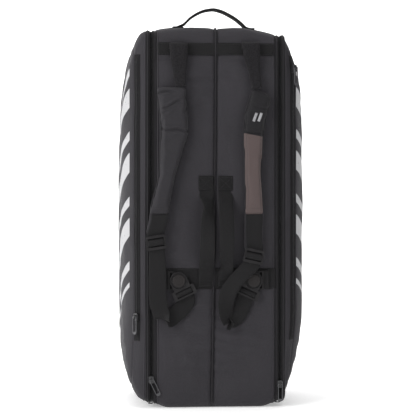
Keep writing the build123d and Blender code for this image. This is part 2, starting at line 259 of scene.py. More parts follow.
def print_mask(nodes, axes, place):
    """Slanted bars, printed in a column on the side pocket."""
    slant = nodes.math("MULTIPLY_ADD", axes[1], BAR_SLOPE, axes[2])
    bars = nodes.math("FRACT", nodes.math("DIVIDE", slant, BAR_PERIOD))
    inside = nodes.math("LESS_THAN", bars, BAR_WIDE)
    from_thin = nodes.math("ABSOLUTE", nodes.math("SUBTRACT", bars, BAR_THIN[0]))
    marks = nodes.math("MAXIMUM", inside, nodes.math("LESS_THAN", from_thin, BAR_THIN[1]))
    for value, (low, high) in ((slant, PRINT_RISE), (axes[1], PRINT_DEPTH)):
        marks = nodes.math("MULTIPLY", marks, nodes.math("GREATER_THAN", value, low))
        marks = nodes.math("MULTIPLY", marks, nodes.math("LESS_THAN", value, high))
    from_middle = nodes.math("ABSOLUTE", nodes.math("ADD", axes[0], PRINT_X[0]))
    off_facet = nodes.math("GREATER_THAN", from_middle, PRINT_X[1])
    worn = nodes.math("GREATER_THAN", nodes.noise(place, 260.0, 3.0), 0.31)
    return nodes.math("MULTIPLY", nodes.math("MULTIPLY", marks, off_facet), worn)


def webbing_material(name, colour, roughness=0.6):
    """Ribbed webbing: its UV map runs across and along in metres."""
    nodes = Nodes(name)
    uv = nodes.add("ShaderNodeUVMap", uv_map="UVMap")
    split = nodes.add("ShaderNodeSeparateXYZ")
    nodes.put(split.inputs[0], uv.outputs[0])
    place, _ = nodes.object_axes()
    across, along = split.outputs[0], split.outputs[1]
    zigzag = nodes.math("PINGPONG", across, 2.0 * MM)
    ribs = nodes.math("SINE", nodes.math("MULTIPLY", nodes.math("ADD", along, zigzag), tau / (1.9 * MM)))
    cords = nodes.math("SINE", nodes.math("MULTIPLY", across, tau / (2.0 * MM)))
    height = nodes.math("ADD", ribs, nodes.math("MULTIPLY", cords, 0.6))
    fuzz = nodes.noise(place, 800.0, 2.0)
    # The colour follows the rib height: darker in the grooves between ribs and cords, lighter on their
    # tops. This is painted shade.
    base = nodes.mix(nodes.ramp(height, -1.2, 1.4), shade(colour, 0.72), shade(colour, 1.28))
    base = nodes.mix(nodes.ramp(fuzz, 0.45, 0.8), base, shade(colour, 1.7))
    normal = nodes.bump(height, 0.22 * MM, 0.9)
    normal = nodes.bump(nodes.noise(place, 60.0, 3.0), 0.7 * MM, 0.4, normal)
    return nodes.finish(base, roughness, normal,
                        sheen_weight=0.04, sheen_roughness=0.4, specular_ior_level=0.15)


def air_mesh_material(name, colour):
    nodes = Nodes(name)
    place, _ = nodes.object_axes()
    cells = nodes.add("ShaderNodeTexVoronoi", feature="F1")
    nodes.put(cells.inputs["Vector"], place)
    nodes.put(cells.inputs["Scale"], 430.0)
    # The cells' centres are the mesh's openings and are coloured darker: painted shade inside the holes.
    holes = nodes.ramp(cells.outputs["Distance"], 0.25, 0.55)
    base = nodes.mix(holes, shade(colour, 0.45), shade(colour, 1.25))
    normal = nodes.bump(holes, 0.4 * MM, 0.8)
    return nodes.finish(base, 0.75, normal, sheen_weight=0.04, specular_ior_level=0.12)


def quilted_material(name, colour):
    nodes = Nodes(name)
    place, axes = nodes.object_axes()
    weave = lattice(nodes, axes, 1.3 * MM)
    base = nodes.mix(nodes.noise(place, 18.0), shade(colour, 0.8), shade(colour, 1.25))
    normal = nodes.bump(weave, 0.1 * MM, 0.7)
    normal = nodes.bump(nodes.noise(place, 40.0, 4.0), 0.9 * MM, 0.5, normal)
    return nodes.finish(base, 0.7, normal, sheen_weight=0.15, specular_ior_level=0.25)


def moulded(name, colour, roughness, grain=900.0, depth=0.05 * MM, coat=0.0, gloss=0.35):
    """Moulded plastic with fine spark texture, and soft random patches a little lighter and rougher."""
    nodes = Nodes(name)
    place, _ = nodes.object_axes()
    spark = nodes.noise(place, grain, 2.0)
    wear = nodes.noise(place, 70.0, 5.0, 0.65)
    base = nodes.mix(nodes.ramp(wear, 0.45, 0.75), shade(colour, 0.9), shade(colour, 1.35))
    rough = nodes.math("MULTIPLY_ADD", wear, 0.22, roughness - 0.11)
    normal = nodes.bump(spark, depth, 0.6)
    return nodes.finish(base, rough, normal, coat_weight=coat, coat_roughness=0.2, specular_ior_level=gloss)


def enamel(name, colour, roughness=0.32):
    """Lacquered die-cast metal, with the lacquer chipped to grey metal in random spots."""
    nodes = Nodes(name)
    place, _ = nodes.object_axes()
    chips = nodes.noise(place, 380.0, 4.0, 0.7)
    bare = nodes.math("GREATER_THAN", chips, 0.73)
    base = nodes.mix(bare, colour, shade((0.35, 0.34, 0.33), 0.8))
    rough = nodes.math("MULTIPLY_ADD", nodes.noise(place, 120.0), 0.2, roughness - 0.1)
    normal = nodes.bump(chips, 0.03 * MM, 0.5)
    return nodes.finish(base, rough, normal, metallic=0.35, coat_weight=0.3, coat_roughness=0.2)


def strap_mask(nodes, axes, place):
    """The lower part of the right strap is the accent panel; its top edge slopes."""
    edge = nodes.math("MULTIPLY_ADD", axes[0], -0.2, STRAP_PANEL_TOP)
    return nodes.math("LESS_THAN", axes[2], edge)


STRAP_PANEL_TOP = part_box("strap_pad_right")[0].z + 178 * MM

MATERIALS = {}


def make_materials():
    fabric, trim, _ = settings()
    shell, webbing = tuple(fabric.shell), tuple(trim.webbing)
    made = {
        "shell": woven("shell_fabric", shell),
        # The pocket fabric is the shell colour darkened by 0.90: painted shade for the side faces, which
        # get less light than the strap side.
        "pocket": woven("pocket_fabric", shade(shell, 0.90),
                        mask=print_mask, accent=tuple(fabric.print_colour)),
        "strap_left": woven("strap_fabric_left", shade(shell, 0.76), period=1.1 * MM, sheen=0.12),
        "strap_right": woven("strap_fabric_right", shade(shell, 0.35), period=1.1 * MM, sheen=0.12,
                             mask=strap_mask, accent=tuple(fabric.accent)),
        "binding": woven("binding_tape", shade(shell, 0.5), period=0.7 * MM, roughness=0.55),
        "lining": quilted_material("lining_fabric", (0.030, 0.030, 0.033)),
        "webbing": webbing_material("webbing_weave", webbing),
        "tape": webbing_material("zipper_tape_knit", shade(webbing, 1.15), 0.7),
        "mesh": air_mesh_material("air_mesh", (0.0135, 0.0125, 0.014)),
        "coil": moulded("zipper_coil_nylon", (0.020, 0.020, 0.022), 0.38, 1200.0),
        "buckle": moulded("buckle_acetal", (0.0165, 0.0155, 0.0165), 0.4, gloss=0.2),
        "cap": moulded("buckle_cap_acetal", (0.018, 0.0155, 0.0155), 0.45, gloss=0.25),
        # The pulls' pale grey is partly the rubber's own tone and partly painted highlight, standing for
        # the bright rims of the pulls.
        "pull": moulded("pull_rubber", (0.075, 0.075, 0.08), 0.35, coat=0.2),
        "slider": enamel("slider_enamel", (0.030, 0.030, 0.032)),
        "board": moulded("stiffener_board", (0.026, 0.026, 0.028), 0.6),
        "thread": woven("bonded_thread", (0.030, 0.029, 0.030),
                        period=0.3 * MM, roughness=0.45, depth=0.02 * MM),
        "pale_thread": woven("pale_thread", (0.16, 0.16, 0.17), period=0.3 * MM, depth=0.02 * MM),
        "badge": moulded("badge_rubber", (0.30, 0.30, 0.31), 0.5),
    }
    MATERIALS.update(made)


# ---- mesh helpers ----
def add_object(name, data):
    piece = bpy.data.objects.new(name, data)
    bpy.context.scene.collection.objects.link(piece)
    return piece


def new_mesh(name, points, faces, materials, uvs=None, indices=None):
    data = bpy.data.meshes.new(name)
    data.from_pydata([tuple(p) for p in points], [], faces)
    if uvs is not None:
        layer = data.uv_layers.new(name="UVMap")
        flat = np.array([uvs[v] for face in faces for v in face], np.float32).ravel()
        layer.data.foreach_set("uv", flat)
    for key in materials:
        data.materials.append(MATERIALS[key])
    if indices is not None:
        data.polygons.foreach_set("material_index", indices)
    data.update()
    data.shade_smooth()
    return add_object(name, data)


def grid_faces(rows, columns, closed_rows=False, closed_columns=False):
    faces = []
    for i in range(rows if closed_rows else rows - 1):
        for j in range(columns if closed_columns else columns - 1):
            k, m = (i + 1) % rows, (j + 1) % columns
            faces.append((i * columns + j, k * columns + j, k * columns + m, i * columns + m))
    return faces


def face_out(piece, outward):
    """Turns every face of an open sheet so that the middle one looks along outward."""
    data = piece.data
    middle = data.polygons[len(data.polygons) // 2]
    if middle.normal.dot(Vector(outward)) < 0:
        data.flip_normals()


def bake_modifiers(piece):
    """Replaces the mesh with what its modifiers make of it."""
    bpy.context.view_layer.update()
    graph = bpy.context.evaluated_depsgraph_get()
    data = bpy.data.meshes.new_from_object(piece.evaluated_get(graph), depsgraph=graph)
    piece.modifiers.clear()
    piece.data = data
    data.shade_smooth()
    return piece


def thicken(piece, thickness, inner=0, even=True):
    """Gives a sheet its thickness, inwards from its face."""
    modifier = piece.modifiers.new("wall", "SOLIDIFY")
    modifier.thickness = thickness
    modifier.offset = -1
    modifier.use_even_offset = even
    modifier.material_offset = inner
    return bake_modifiers(piece)


def clean(piece, merge=0.0, dissolve=0.0):
    """Turns the normals outwards; can first merge points and drop flat faces closer than this."""
    work = bmesh.new()
    work.from_mesh(piece.data)
    if merge:
        bmesh.ops.remove_doubles(work, verts=work.verts, dist=merge)
    if dissolve:
        bmesh.ops.dissolve_degenerate(work, edges=work.edges, dist=dissolve)
    bmesh.ops.recalc_face_normals(work, faces=work.faces)
    work.to_mesh(piece.data)
    work.free()
    return piece


def join(name, pieces):
    """One mesh from several, with all their materials."""
    work = bmesh.new()
    materials = []
    for piece in pieces:
        start = len(work.faces)
        slots = []
        for material in piece.data.materials:
            if material not in materials:
                materials.append(material)
            slots.append(materials.index(material))
        work.from_mesh(piece.data)
        work.faces.ensure_lookup_table()
        for face in work.faces[start:]:
            face.material_index = slots[min(face.material_index, len(slots) - 1)] if slots else 0
    data = bpy.data.meshes.new(name)
    work.to_mesh(data)
    work.free()
    for material in materials:
        data.materials.append(material)
    for piece in pieces:
        bpy.data.objects.remove(piece)
    data.shade_smooth()
    return add_object(name, data)


def settle(piece, body, slot, *nodes):
    """Hands a finished piece to its body, with the nodes it stands for."""
    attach(piece, body)
    if nodes:
        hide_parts(*nodes)
    return piece


def curve_through(points, step):
    """Even points on a smooth curve through the given ones; extra columns go along."""
    points = np.array([list(p) for p in points], float)
    ends = np.vstack([2 * points[0] - points[1], points, 2 * points[-1] - points[-2]])
    dense = []
    for i in range(1, len(ends) - 2):
        a, b, c, d = ends[i - 1:i + 3]
        for t in np.linspace(0, 1, 24, endpoint=False):
            dense.append(0.5 * ((2 * b) + (c - a) * t + (2 * a - 5 * b + 4 * c - d) * t ** 2
                                + (3 * b - a - 3 * c + d) * t ** 3))
    dense.append(points[-1])
    dense = np.array(dense)
    gaps = np.linalg.norm(np.diff(dense[:, :3], axis=0), axis=1)
    length = np.concatenate([[0], np.cumsum(gaps)])
    count = max(int(round(length[-1] / step)), 2)
    even = np.linspace(0, length[-1], count + 1)
    return np.column_stack([np.interp(even, length, column) for column in dense.T]), even


SECTION = (-1, -0.93, -0.5, 0, 0.5, 0.93, 1)     # places across a webbing, with thinner edges


def ribbon(name, stations, thickness, material, step=4 * MM):
    """Flat webbing. A station is x, y, z, the direction across and the width; lengths are in mm."""
    stations = np.array(stations, float)
    stations[:, :3] *= MM
    stations[:, 6] *= MM
    path, along = curve_through(stations, step)
    places, across, widths = path[:, :3], path[:, 3:6], path[:, 6]
    tangents = np.gradient(places, axis=0)
    tangents /= np.linalg.norm(tangents, axis=1)[:, None]
    across = across - (across * tangents).sum(1)[:, None] * tangents
    across /= np.linalg.norm(across, axis=1)[:, None]
    normals = np.cross(across, tangents)
    half = thickness / 2
    section = [(u, half * (0.4 if abs(u) == 1 else 1)) for u in SECTION]
    section += [(u, -w) for u, w in section[::-1]]
    points, uvs = [], []
    for place, side, normal, width, v in zip(places, across, normals, widths, along):
        for u, w in section:
            points.append(place + side * (u * width / 2) + normal * w)
            uvs.append((u * width / 2, v))
    rows, columns = len(places), len(section)
    faces = grid_faces(rows, columns, closed_columns=True)
    faces.append(tuple(range(columns)))
    faces.append(tuple(range((rows - 1) * columns, rows * columns))[::-1])
    return clean(new_mesh(name, points, faces, [material], uvs))


def tube(name, places, radius, material, sides=8, closed=False):
    """Round cord along a list of points."""
    places = np.array(places, float)
    tangents = np.gradient(places, axis=0)
    if closed:
        tangents = np.roll(places, -1, 0) - np.roll(places, 1, 0)
    tangents /= np.linalg.norm(tangents, axis=1)[:, None]
    side = np.cross(tangents[0], (0.31, 0.77, 0.56))
    points, uvs, travelled = [], [], 0.0
    for i, (place, tangent) in enumerate(zip(places, tangents)):
        side = side - side.dot(tangent) * tangent
        side /= np.linalg.norm(side)
        up = np.cross(tangent, side)
        travelled += np.linalg.norm(place - places[max(i - 1, 0)])
        for k in range(sides):
            a = tau * k / sides
            points.append(place + radius * (cos(a) * side + sin(a) * up))
            uvs.append((radius * a, travelled))
    faces = grid_faces(len(places), sides, closed_rows=closed, closed_columns=True)
    if not closed:
        faces.append(tuple(range(sides)))
        faces.append(tuple(range((len(places) - 1) * sides, len(places) * sides))[::-1])
    return clean(new_mesh(name, points, faces, [material], uvs))


# ---- geometry nodes: small elements set along a path ----
def element_tree():
    """Beads along every edge path: stitches, or the turns of a zipper coil."""
    tree = bpy.data.node_groups.new("elements_along_path", "GeometryNodeTree")
    face = tree.interface
    face.new_socket("Geometry", in_out="INPUT", socket_type="NodeSocketGeometry")
    for label, kind in (("Pitch", "Float"), ("Size", "Vector"), ("Finish", "Material")):
        face.new_socket(label, in_out="INPUT", socket_type=f"NodeSocket{kind}")
    face.new_socket("Geometry", in_out="OUTPUT", socket_type="NodeSocketGeometry")
    add, link = tree.nodes.new, tree.links.new
    start, end = add("NodeGroupInput"), add("NodeGroupOutput")
    path = add("GeometryNodeMeshToCurve")
    even = add("GeometryNodeResampleCurve")
    even.mode = "LENGTH"
    bead = add("GeometryNodeMeshUVSphere")
    for label, value in (("Segments", 6), ("Rings", 4), ("Radius", 0.5)):
        bead.inputs[label].default_value = value
    tangent = add("GeometryNodeInputTangent")
    turn = add("FunctionNodeAlignRotationToVector")
    turn.axis = "Y"
    place = add("GeometryNodeInstanceOnPoints")
    real = add("GeometryNodeRealizeInstances")
    smooth = add("GeometryNodeSetShadeSmooth")
    paint = add("GeometryNodeSetMaterial")
    for source, output, target, label in (
            (start, "Geometry", path, 0), (path, 0, even, "Curve"), (start, "Pitch", even, "Length"),
            (even, 0, place, "Points"), (bead, "Mesh", place, "Instance"), (tangent, 0, turn, "Vector"),
            (turn, 0, place, "Rotation"), (start, "Size", place, "Scale"), (place, 0, real, 0),
            (real, 0, smooth, 0), (smooth, 0, paint, "Geometry"), (start, "Finish", paint, "Material"),
            (paint, 0, end, 0)):
        link(source.outputs[output], target.inputs[label])
    return tree


def elements(name, paths, pitch, size, material):
    """A mesh of beads along the given point lists."""
    tree = bpy.data.node_groups.get("elements_along_path") or element_tree()
    points, edges = [], []
    for path in paths:
        first = len(points)
        points += [tuple(p) for p in path]
        edges += [(i, i + 1) for i in range(first, len(points) - 1)]
    data = bpy.data.meshes.new(name)
    data.from_pydata(points, edges, [])
    piece = add_object(name, data)
    modifier = piece.modifiers.new("beads", "NODES")
    modifier.node_group = tree
    names = {item.name: item.identifier for item in tree.interface.items_tree if item.in_out == "INPUT"}
    modifier[names["Pitch"]] = pitch
    modifier[names["Size"]] = tuple(size)
    modifier[names["Finish"]] = MATERIALS[material]
    return bake_modifiers(piece)


def stitches(name, paths, material="thread", width=0.7 * MM):
    _, trim, _ = settings()
    return elements(name, paths, trim.stitch_pitch, (width, trim.stitch_pitch * 0.72, width), material)


# ---- the bag's outline ----
def rounded(y0, y1, z0, z1, radii, arc=10, straight=(34, 78)):
    """Closed outline from the back of the base, round the strap side and top: y, z and normal."""
    fl, bl, bh, fh = (max(r, 0.5 * MM) for r in radii)
    flat_y, flat_z = straight
    rows = []

    def line(a, b, count, normal):
        for i in range(count):
            t = i / count
            rows.append((a[0] + (b[0] - a[0]) * t, a[1] + (b[1] - a[1]) * t, *normal))

    def bend(centre, radius, start):
        for i in range(arc):
            a = radians(start - 90 * i / arc)
            rows.append((centre[0] + radius * cos(a), centre[1] + radius * sin(a), cos(a), sin(a)))

    line((y1 - bl, z0), (y0 + fl, z0), flat_y, (0, -1))
    bend((y0 + fl, z0 + fl), fl, 270)
    line((y0, z0 + fl), (y0, z1 - fh), flat_z, (-1, 0))
    bend((y0 + fh, z1 - fh), fh, 180)
    line((y0 + fh, z1), (y1 - bh, z1), flat_y, (0, 1))
    bend((y1 - bh, z1 - bh), bh, 90)
    line((y1, z1 - bh), (y1, z0 + bl), flat_z, (1, 0))
    bend((y1 - bl, z0 + bl), bl, 0)
    return np.array(rows)


class Track:
    """A closed outline that is read by the distance along it."""

    def __init__(self, rows):
        self.rows = np.vstack([rows, rows[:1]])
        steps = np.linalg.norm(np.diff(self.rows[:, :2], axis=0), axis=1)
        self.along = np.concatenate([[0], np.cumsum(steps)])
        self.length = self.along[-1]

    def at(self, s):
        s = s % self.length
        return [np.interp(s, self.along, column) for column in self.rows.T]

    def find(self, test, start=0.0):
        """First distance past start where the test on (y, z) becomes true."""
        for s in np.arange(start, self.length, 0.5 * MM):
            if test(*self.at(s)[:2]):
                return s
        raise ValueError("the outline never passes the test")


OUTLINE = Track(rounded(FRONT, BACK, 0, LENGTH, CORNERS, 24))
S_FRONT_LOW = OUTLINE.find(lambda y, z: y < 0 and z > BASE_SEAM)
S_FRONT_HIGH = OUTLINE.find(lambda y, z: y < 0 and z > TOP_SEAM)
S_BACK_HIGH = OUTLINE.find(lambda y, z: y > 0 and z < TOP_SEAM and z > LENGTH / 2)
S_BACK_LOW = OUTLINE.find(lambda y, z: z < BASE_SEAM, S_BACK_HIGH)
PANELS = {
    "bottom_end": (S_BACK_LOW - OUTLINE.length, S_FRONT_LOW),
    "spine_panel": (S_FRONT_LOW, S_FRONT_HIGH),
    "top_end": (S_FRONT_HIGH, S_BACK_HIGH),
    "back_panel": (S_BACK_HIGH, S_BACK_LOW),
}
OUTWARD = {"bottom_end": (0, 0, -1), "spine_panel": (0, -1, 0),
           "top_end": (0, 0, 1), "back_panel": (0, 1, 0)}


def drift(z):
    """How far the centre binding wanders to the left lower down."""
    t = min(max(1 - z / LENGTH, 0), 1)
    return -8.5 * MM * t ** 1.6


def sag(side, x):
    """How far the end panels curve in towards the zipper, at the base and at the top."""
    t = smoothstep(94 * MM, SEAM + 10 * MM, x)
    low = (ZIP_RISE - 1 * MM) * t
    high = (12 * MM if side == "right" else 5 * MM) * smoothstep(40 * MM, SEAM + 4 * MM, x) ** 1.3
    return low, high


def notch(z):
    """0 where a cross band holds the panel flat."""
    low = smoothstep(BAND_LOW[0] - 105 * MM, BAND_LOW[0] - 70 * MM, z) - smoothstep(
        BAND_LOW[1] - 2 * MM, BAND_LOW[1] + 34 * MM, z)
    high = smoothstep(BAND_HIGH[0] - 26 * MM, BAND_HIGH[0] + 2 * MM, z)
    return 1 - max(low, high)


# centre z, centre x, slope, half length, half width, depth: soft creases in the strap side panels, in mm
CREASES = {
    "left": [
        (664, 30, 0.05, 34, 5, 1.2), (640, 26, 0.0, 28, 6, 0.9), (612, 34, 0.06, 30, 7, 0.7),
        (150, 30, 0.12, 40, 9, 0.8), (112, 22, 0.05, 34, 8, 0.9), (76, 34, -0.04, 44, 8, 1.0),
        (196, 20, -0.1, 26, 6, 0.7), (520, 66, 0.35, 40, 11, 0.7), (228, 62, -0.1, 30, 7, 0.6),
    ],
    "right": [
        (136, 34, -0.12, 42, 7, 1.3), (116, 30, -0.08, 38, 6, 1.2), (94, 40, -0.02, 48, 8, 1.2),
        (72, 30, 0.08, 36, 7, 1.0), (160, 24, -0.16, 30, 6, 1.0), (182, 20, -0.1, 24, 6, 0.8),
        (668, 30, -0.04, 32, 6, 0.8), (700, 64, -0.1, 26, 6, 0.9), (556, 30, 0.1, 40, 12, 0.6),
    ],
}


PANEL_SPAN = 121         # from the centre binding to the outer seam, in mm


def gusset_lift(side, s, x, z, ny, nz):
    """How far the panel stands out from the flat outline at this place."""
    fabric, _, _ = settings()
    u = (x - INNER_X) / (SEAM - INNER_X)
    across = max(sin(pi * u), 0.0) ** 0.55
    front = smoothstep(0.3, 0.95, -ny)
    back = smoothstep(0.3, 0.95, ny)
    top = smoothstep(0.3, 0.95, nz)
    near_ends = smoothstep(0, 46 * MM, z) * smoothstep(0, 46 * MM, LENGTH - z)
    lift = fabric.puff * across * (front * notch(z) * (0.35 + 0.65 * near_ends) + 1.2 * back + 0.75 * top)
    for depth, width, away in ((1.6, 4.5, u), (1.4, 4.0, 1 - u)):
        lift -= depth * MM * (front + back + top) * exp(-((away * PANEL_SPAN) / width) ** 2)
    beside = smoothstep(50 * MM, 78 * MM, x)
    for seam_z, shown in ((BASE_SEAM, back), (TOP_SEAM, back + front * beside)):
        lift -= 1.1 * MM * shown * exp(-((z - seam_z) / (2.6 * MM)) ** 2)
    waves = noise.fractal(Vector((x * 16, s * 9, 3.7 if side == "left" else 9.1)), 0.6, 2.0, 3)
    lift += 1.5 * MM * waves * across * (front * notch(z) + back + top)
    if front > 0:
        for z0, x0, slope, half, width, depth in CREASES[side]:
            dx = x / MM - x0
            window = exp(-(dx / half) ** 2)
            dz = z / MM - z0 - slope * dx - 2.0 * sin(dx / 9.0 + z0)
            lift -= fabric.crease * depth * front * window * (
                exp(-(dz / width) ** 2) - 0.6 * exp(-((dz - 1.7 * width) / width) ** 2))
    return lift


def gusset_point(side, s, x, extra=0.0):
    """Place on the outside of a gusset panel; x counts outwards from the centre."""
    y, z, ny, nz = OUTLINE.at(s)
    low, high = sag(side, x)
    squeezed = low + z * (LENGTH - low - high) / LENGTH
    lift = gusset_lift(side, s, x, z, ny, nz) + extra
    out_z = squeezed + nz * lift
    shift = drift(z) * (1 - (x - INNER_X) / (SEAM - INNER_X)) * smoothstep(0.6, -0.2, ny)
    return Vector((SIDES[side] * x + shift, y + ny * lift, max(out_z, 0.0) if nz < 0.5 else out_z))


def on_front(x, z, extra=0.0):
    """Place on the strap side, from a signed x and a height."""
    side = "left" if x < 0 else "right"
    s = S_FRONT_LOW + (z - BASE_SEAM)
    low, high = sag(side, abs(x))
    s += (z - low) * LENGTH / (LENGTH - low - high) - z
    spot = gusset_point(side, s, max(abs(x), INNER_X), extra)
    return Vector((x, spot.y, z))


def make_gussets(node):
    fabric, _, _ = settings()
    start, end = PANELS[node]
    rows = max(int((end - start) / fabric.step), 8)
    xs = np.concatenate([
        np.linspace(INNER_X, INNER_X + 10 * MM, 5, endpoint=False),
        np.linspace(INNER_X + 10 * MM, SEAM - 10 * MM, 22, endpoint=False),
        np.linspace(SEAM - 10 * MM, SEAM, 5)])
    for side in SIDES:
        points, uvs = [], []
        for s in np.linspace(start, end, rows + 1):
            for x in xs:
                points.append(gusset_point(side, s, x))
                uvs.append((x, s))
        faces = grid_faces(rows + 1, len(xs))
        piece = new_mesh(f"{node}_fabric_{side}", points, faces, ["shell", "lining"], uvs)
        face_out(piece, OUTWARD[node])
        thicken(piece, WALL, inner=1)
        piece.data.set_sharp_from_angle(angle=radians(50))
        settle(piece, "bag_body", "body_fabric", f"{node}_{side}")


# ---- lofted rings: side pockets, divider and cover linings ----
def loft(name, rings, materials, closed_start=True):
    """Skin over a list of closed rings of points. The last ring is filled, and the first if asked."""
    count = len(rings[0])
    points = [p for ring in rings for p in ring]
    faces = grid_faces(len(rings), count, closed_columns=True)
    faces.append(tuple(range((len(rings) - 1) * count, len(rings) * count)))
    if closed_start:
        faces.append(tuple(range(count))[::-1])
    piece = clean(new_mesh(name, points, faces, materials), 0.02 * MM, 0.01 * MM)
    piece.data.shade_smooth()
    return piece


POCKET_WALL = 2.2 * MM
SURFACES = {}           # the skins that trim is laid on


def remember_skin(key, piece):
    """Keeps a piece's surface for on_skin."""
    SURFACES[key] = BVHTree.FromPolygons([v.co.copy() for v in piece.data.vertices],
                                         [tuple(p.vertices) for p in piece.data.polygons])


def on_skin(key, start, direction, lift):
    """Where a line from start meets a skin, and a little above it."""
    spot, _, _, _ = SURFACES[key].ray_cast(Vector(start), Vector(direction))
    return spot - Vector(direction).normalized() * lift if spot else None


# x, then how far the outline moves in at the front and back, at the base and at the top, in mm
POCKET_LEVELS = [
    (138.0, 0.0, 0.0, 0.0), (144.5, 1.2, 2.6, 1.8), (152.0, 5.0, 8.0, 5.0), (159.5, 10.5, 19.0, 15.5),
    (165.5, 16.0, 32.0, 30.0), (171.5, 24.5, 47.0, 50.0), (176.5, 34.0, 64.0, 75.0),
    (181.5, 46.5, 93.0, 101.0), (185.2, 60.0, 125.0, 130.0), (188.4, 80.0, 157.0, 178.0),
    (190.4, 104.0, 196.0, 236.0),
    (191.4, 130.0, 262.0, 300.0), (191.8, 160.0, 322.0, 346.0),
]
POCKET_SEAM = 4.0       # the level where the pocket's face is sewn to its sides
# how much further out each pocket reaches near the base and near the top
POCKET_REACH = {"left": (5 * MM, 0.0), "right": (-14 * MM, -10 * MM)}


def pocket_ring(side, t, extra=0.0):
    """Ring of a side pocket at level t, counted in rows of the table."""
    k = min(int(t), len(POCKET_LEVELS) - 2)
    f = t - k
    rows = [POCKET_LEVELS[min(max(k + i, 0), len(POCKET_LEVELS) - 1)] for i in (-1, 0, 1, 2)]
    level = []
    for a, b, c, d in zip(*rows):
        smooth = 0.5 * (2 * b + (c - a) * f + (2 * a - 5 * b + 4 * c - d) * f ** 2
                        + (3 * b - a - 3 * c + d) * f ** 3)
        level.append(min(max(smooth, min(b, c)), max(b, c)) * MM)
    x, side_in, low_in, high_in = level
    y0, y1 = FRONT + side_in, BACK - side_in
    drop = ZIP_DROP + (8 * MM if side == "right" else 1 * MM)
    z0, z1 = ZIP_RISE + low_in, LENGTH - drop - high_in
    room = min(y1 - y0, z1 - z0) / 2
    radii = [min(r + 0.35 * side_in, room * 0.995) for r in CORNERS]
    ring = []
    for y, z, ny, nz in rounded(y0, y1, z0, z1, radii, 10, (26, 62)):
        depth = smoothstep(0.5, 4.0, t)
        swell = 2.6 * MM * noise.fractal(Vector((y * 9, z * 6, 5 + SIDES[side])), 0.6, 2.0, 3) * depth
        swell -= 1.3 * MM * exp(-((t - POCKET_SEAM) / 0.22) ** 2)
        corner = abs(ny * nz) * 2
        on_face = smoothstep(4.2, 6.0, t) * smoothstep(9.5, 6.5, t)
        swell -= 1.2 * MM * corner * sin(z * 160 + y * 90) * on_face
        out = swell + extra
        tilt = smoothstep(9, 3, t) * 0.8
        low_reach, high_reach = POCKET_REACH[side]
        reach = low_reach * smoothstep(200 * MM, 30 * MM, z)
        reach += high_reach * smoothstep(660 * MM, 750 * MM, z)
        out_x = x + reach * smoothstep(0.2, 2.2, t) + out * (1 - 0.4 * tilt)
        ring.append(Vector((SIDES[side] * out_x, y + ny * out * tilt, z + nz * out * tilt)))
    return ring


def make_pocket(side):
    levels = np.concatenate([np.linspace(0, 3.6, 12, endpoint=False),
                             np.linspace(3.6, 4.4, 9, endpoint=False), np.linspace(4.4, 12, 34)])
    rings = [pocket_ring(side, t) for t in levels]
    piece = loft(f"pocket_fabric_{side}", rings, ["pocket", "lining"], closed_start=False)
    remember_skin(side, piece)
    thicken(piece, POCKET_WALL, inner=1, even=False)
    return settle(piece, f"cover_{side}", "side_fabric", f"pocket_shell_{side}")


def slab(name, x_low, x_high, inset, rise, drop, material, pillow, crown):
    """Padded board in the bag's outline, quilted on both faces."""
    radii = [max(r - inset, 3 * MM) for r in CORNERS]
    half = (x_high - x_low) / 2
    centre = (x_high + x_low) / 2
    rings = []
    shrink = [(BACK - inset) * k / 14 for k in range(14)] + [BACK - inset - 0.2 * MM]
    profile = [(move, half) for move in shrink]
    edge = [(0, half * 0.2), (0, half * 0.75)]
    for sign in (-1, 1):
        steps = edge + [(1.6 * MM, half)] + profile[1:]
        steps = steps[::-1] if sign < 0 else steps
        for move, out in steps:
            grown = [r + 0.2 * move for r in radii]
            room = BACK - inset - move
            grown = [min(r, room * 0.99) for r in grown]
            ring = []
            outline = rounded(FRONT + inset + move, BACK - inset - move, rise + inset + move,
                              LENGTH - drop - inset - move, grown, 8, (26, 60))
            for y, z, _, _ in outline:
                a, b = (y + z) / pillow, (z - y) / pillow
                bulge = abs(sin(pi * a)) ** 0.5 * abs(sin(pi * b)) ** 0.5 - 1
                quilt = crown * bulge if move > 4 * MM else 0
                ring.append(Vector((centre + sign * (out + quilt), y, z)))
            rings.append(ring)
    return loft(name, rings, [material])


# ---- paths that follow the zipper ----
ZIP_TRACKS = {}


def zip_path(side, x, inset, start="base", step=3 * MM):
    """Points along the main zipper at this x, from its lower end round to its upper end."""
    drop = sag(side, SEAM)[1]
    key = (side, inset)
    if key not in ZIP_TRACKS:
        radii = [max(r - inset, 2 * MM) for r in CORNERS]
        rows = rounded(FRONT + inset, BACK - inset, ZIP_RISE + inset, LENGTH - drop - inset, radii, 16)
        ZIP_TRACKS[key] = Track(rows)
    track = ZIP_TRACKS[key]
    first = track.find(lambda y, z: y < ZIP_END)
    last = track.find(lambda y, z: y > ZIP_END - MM and z > LENGTH / 2)
    if start == "hinge":
        first, last = last, first + track.length
    count = max(int((last - first) / step), 4)
    path = []
    for s in np.linspace(first, last, count):
        y, z, ny, nz = track.at(s)
        path.append((Vector((SIDES[side] * x, y, z)), Vector((0, ny, nz))))
    return path


def strip(name, side, columns, start, thickness, material):
    """Tape that follows the zipper; a column is an x and an inset."""
    paths = [zip_path(side, x, inset, start, 4 * MM) for x, inset in columns]
    rows = min(len(path) for path in paths)
    points, uvs = [], []
    for i in range(rows):
        for k, path in enumerate(paths):
            index = round(i * (len(path) - 1) / (rows - 1))
            points.append(path[index][0])
            uvs.append((columns[k][0], i * 4 * MM))
    piece = new_mesh(name, points, grid_faces(rows, len(paths)), [material], uvs)
    middle = paths[len(paths) // 2]
    face_out(piece, middle[len(middle) // 2][1])
    return thicken(piece, thickness)


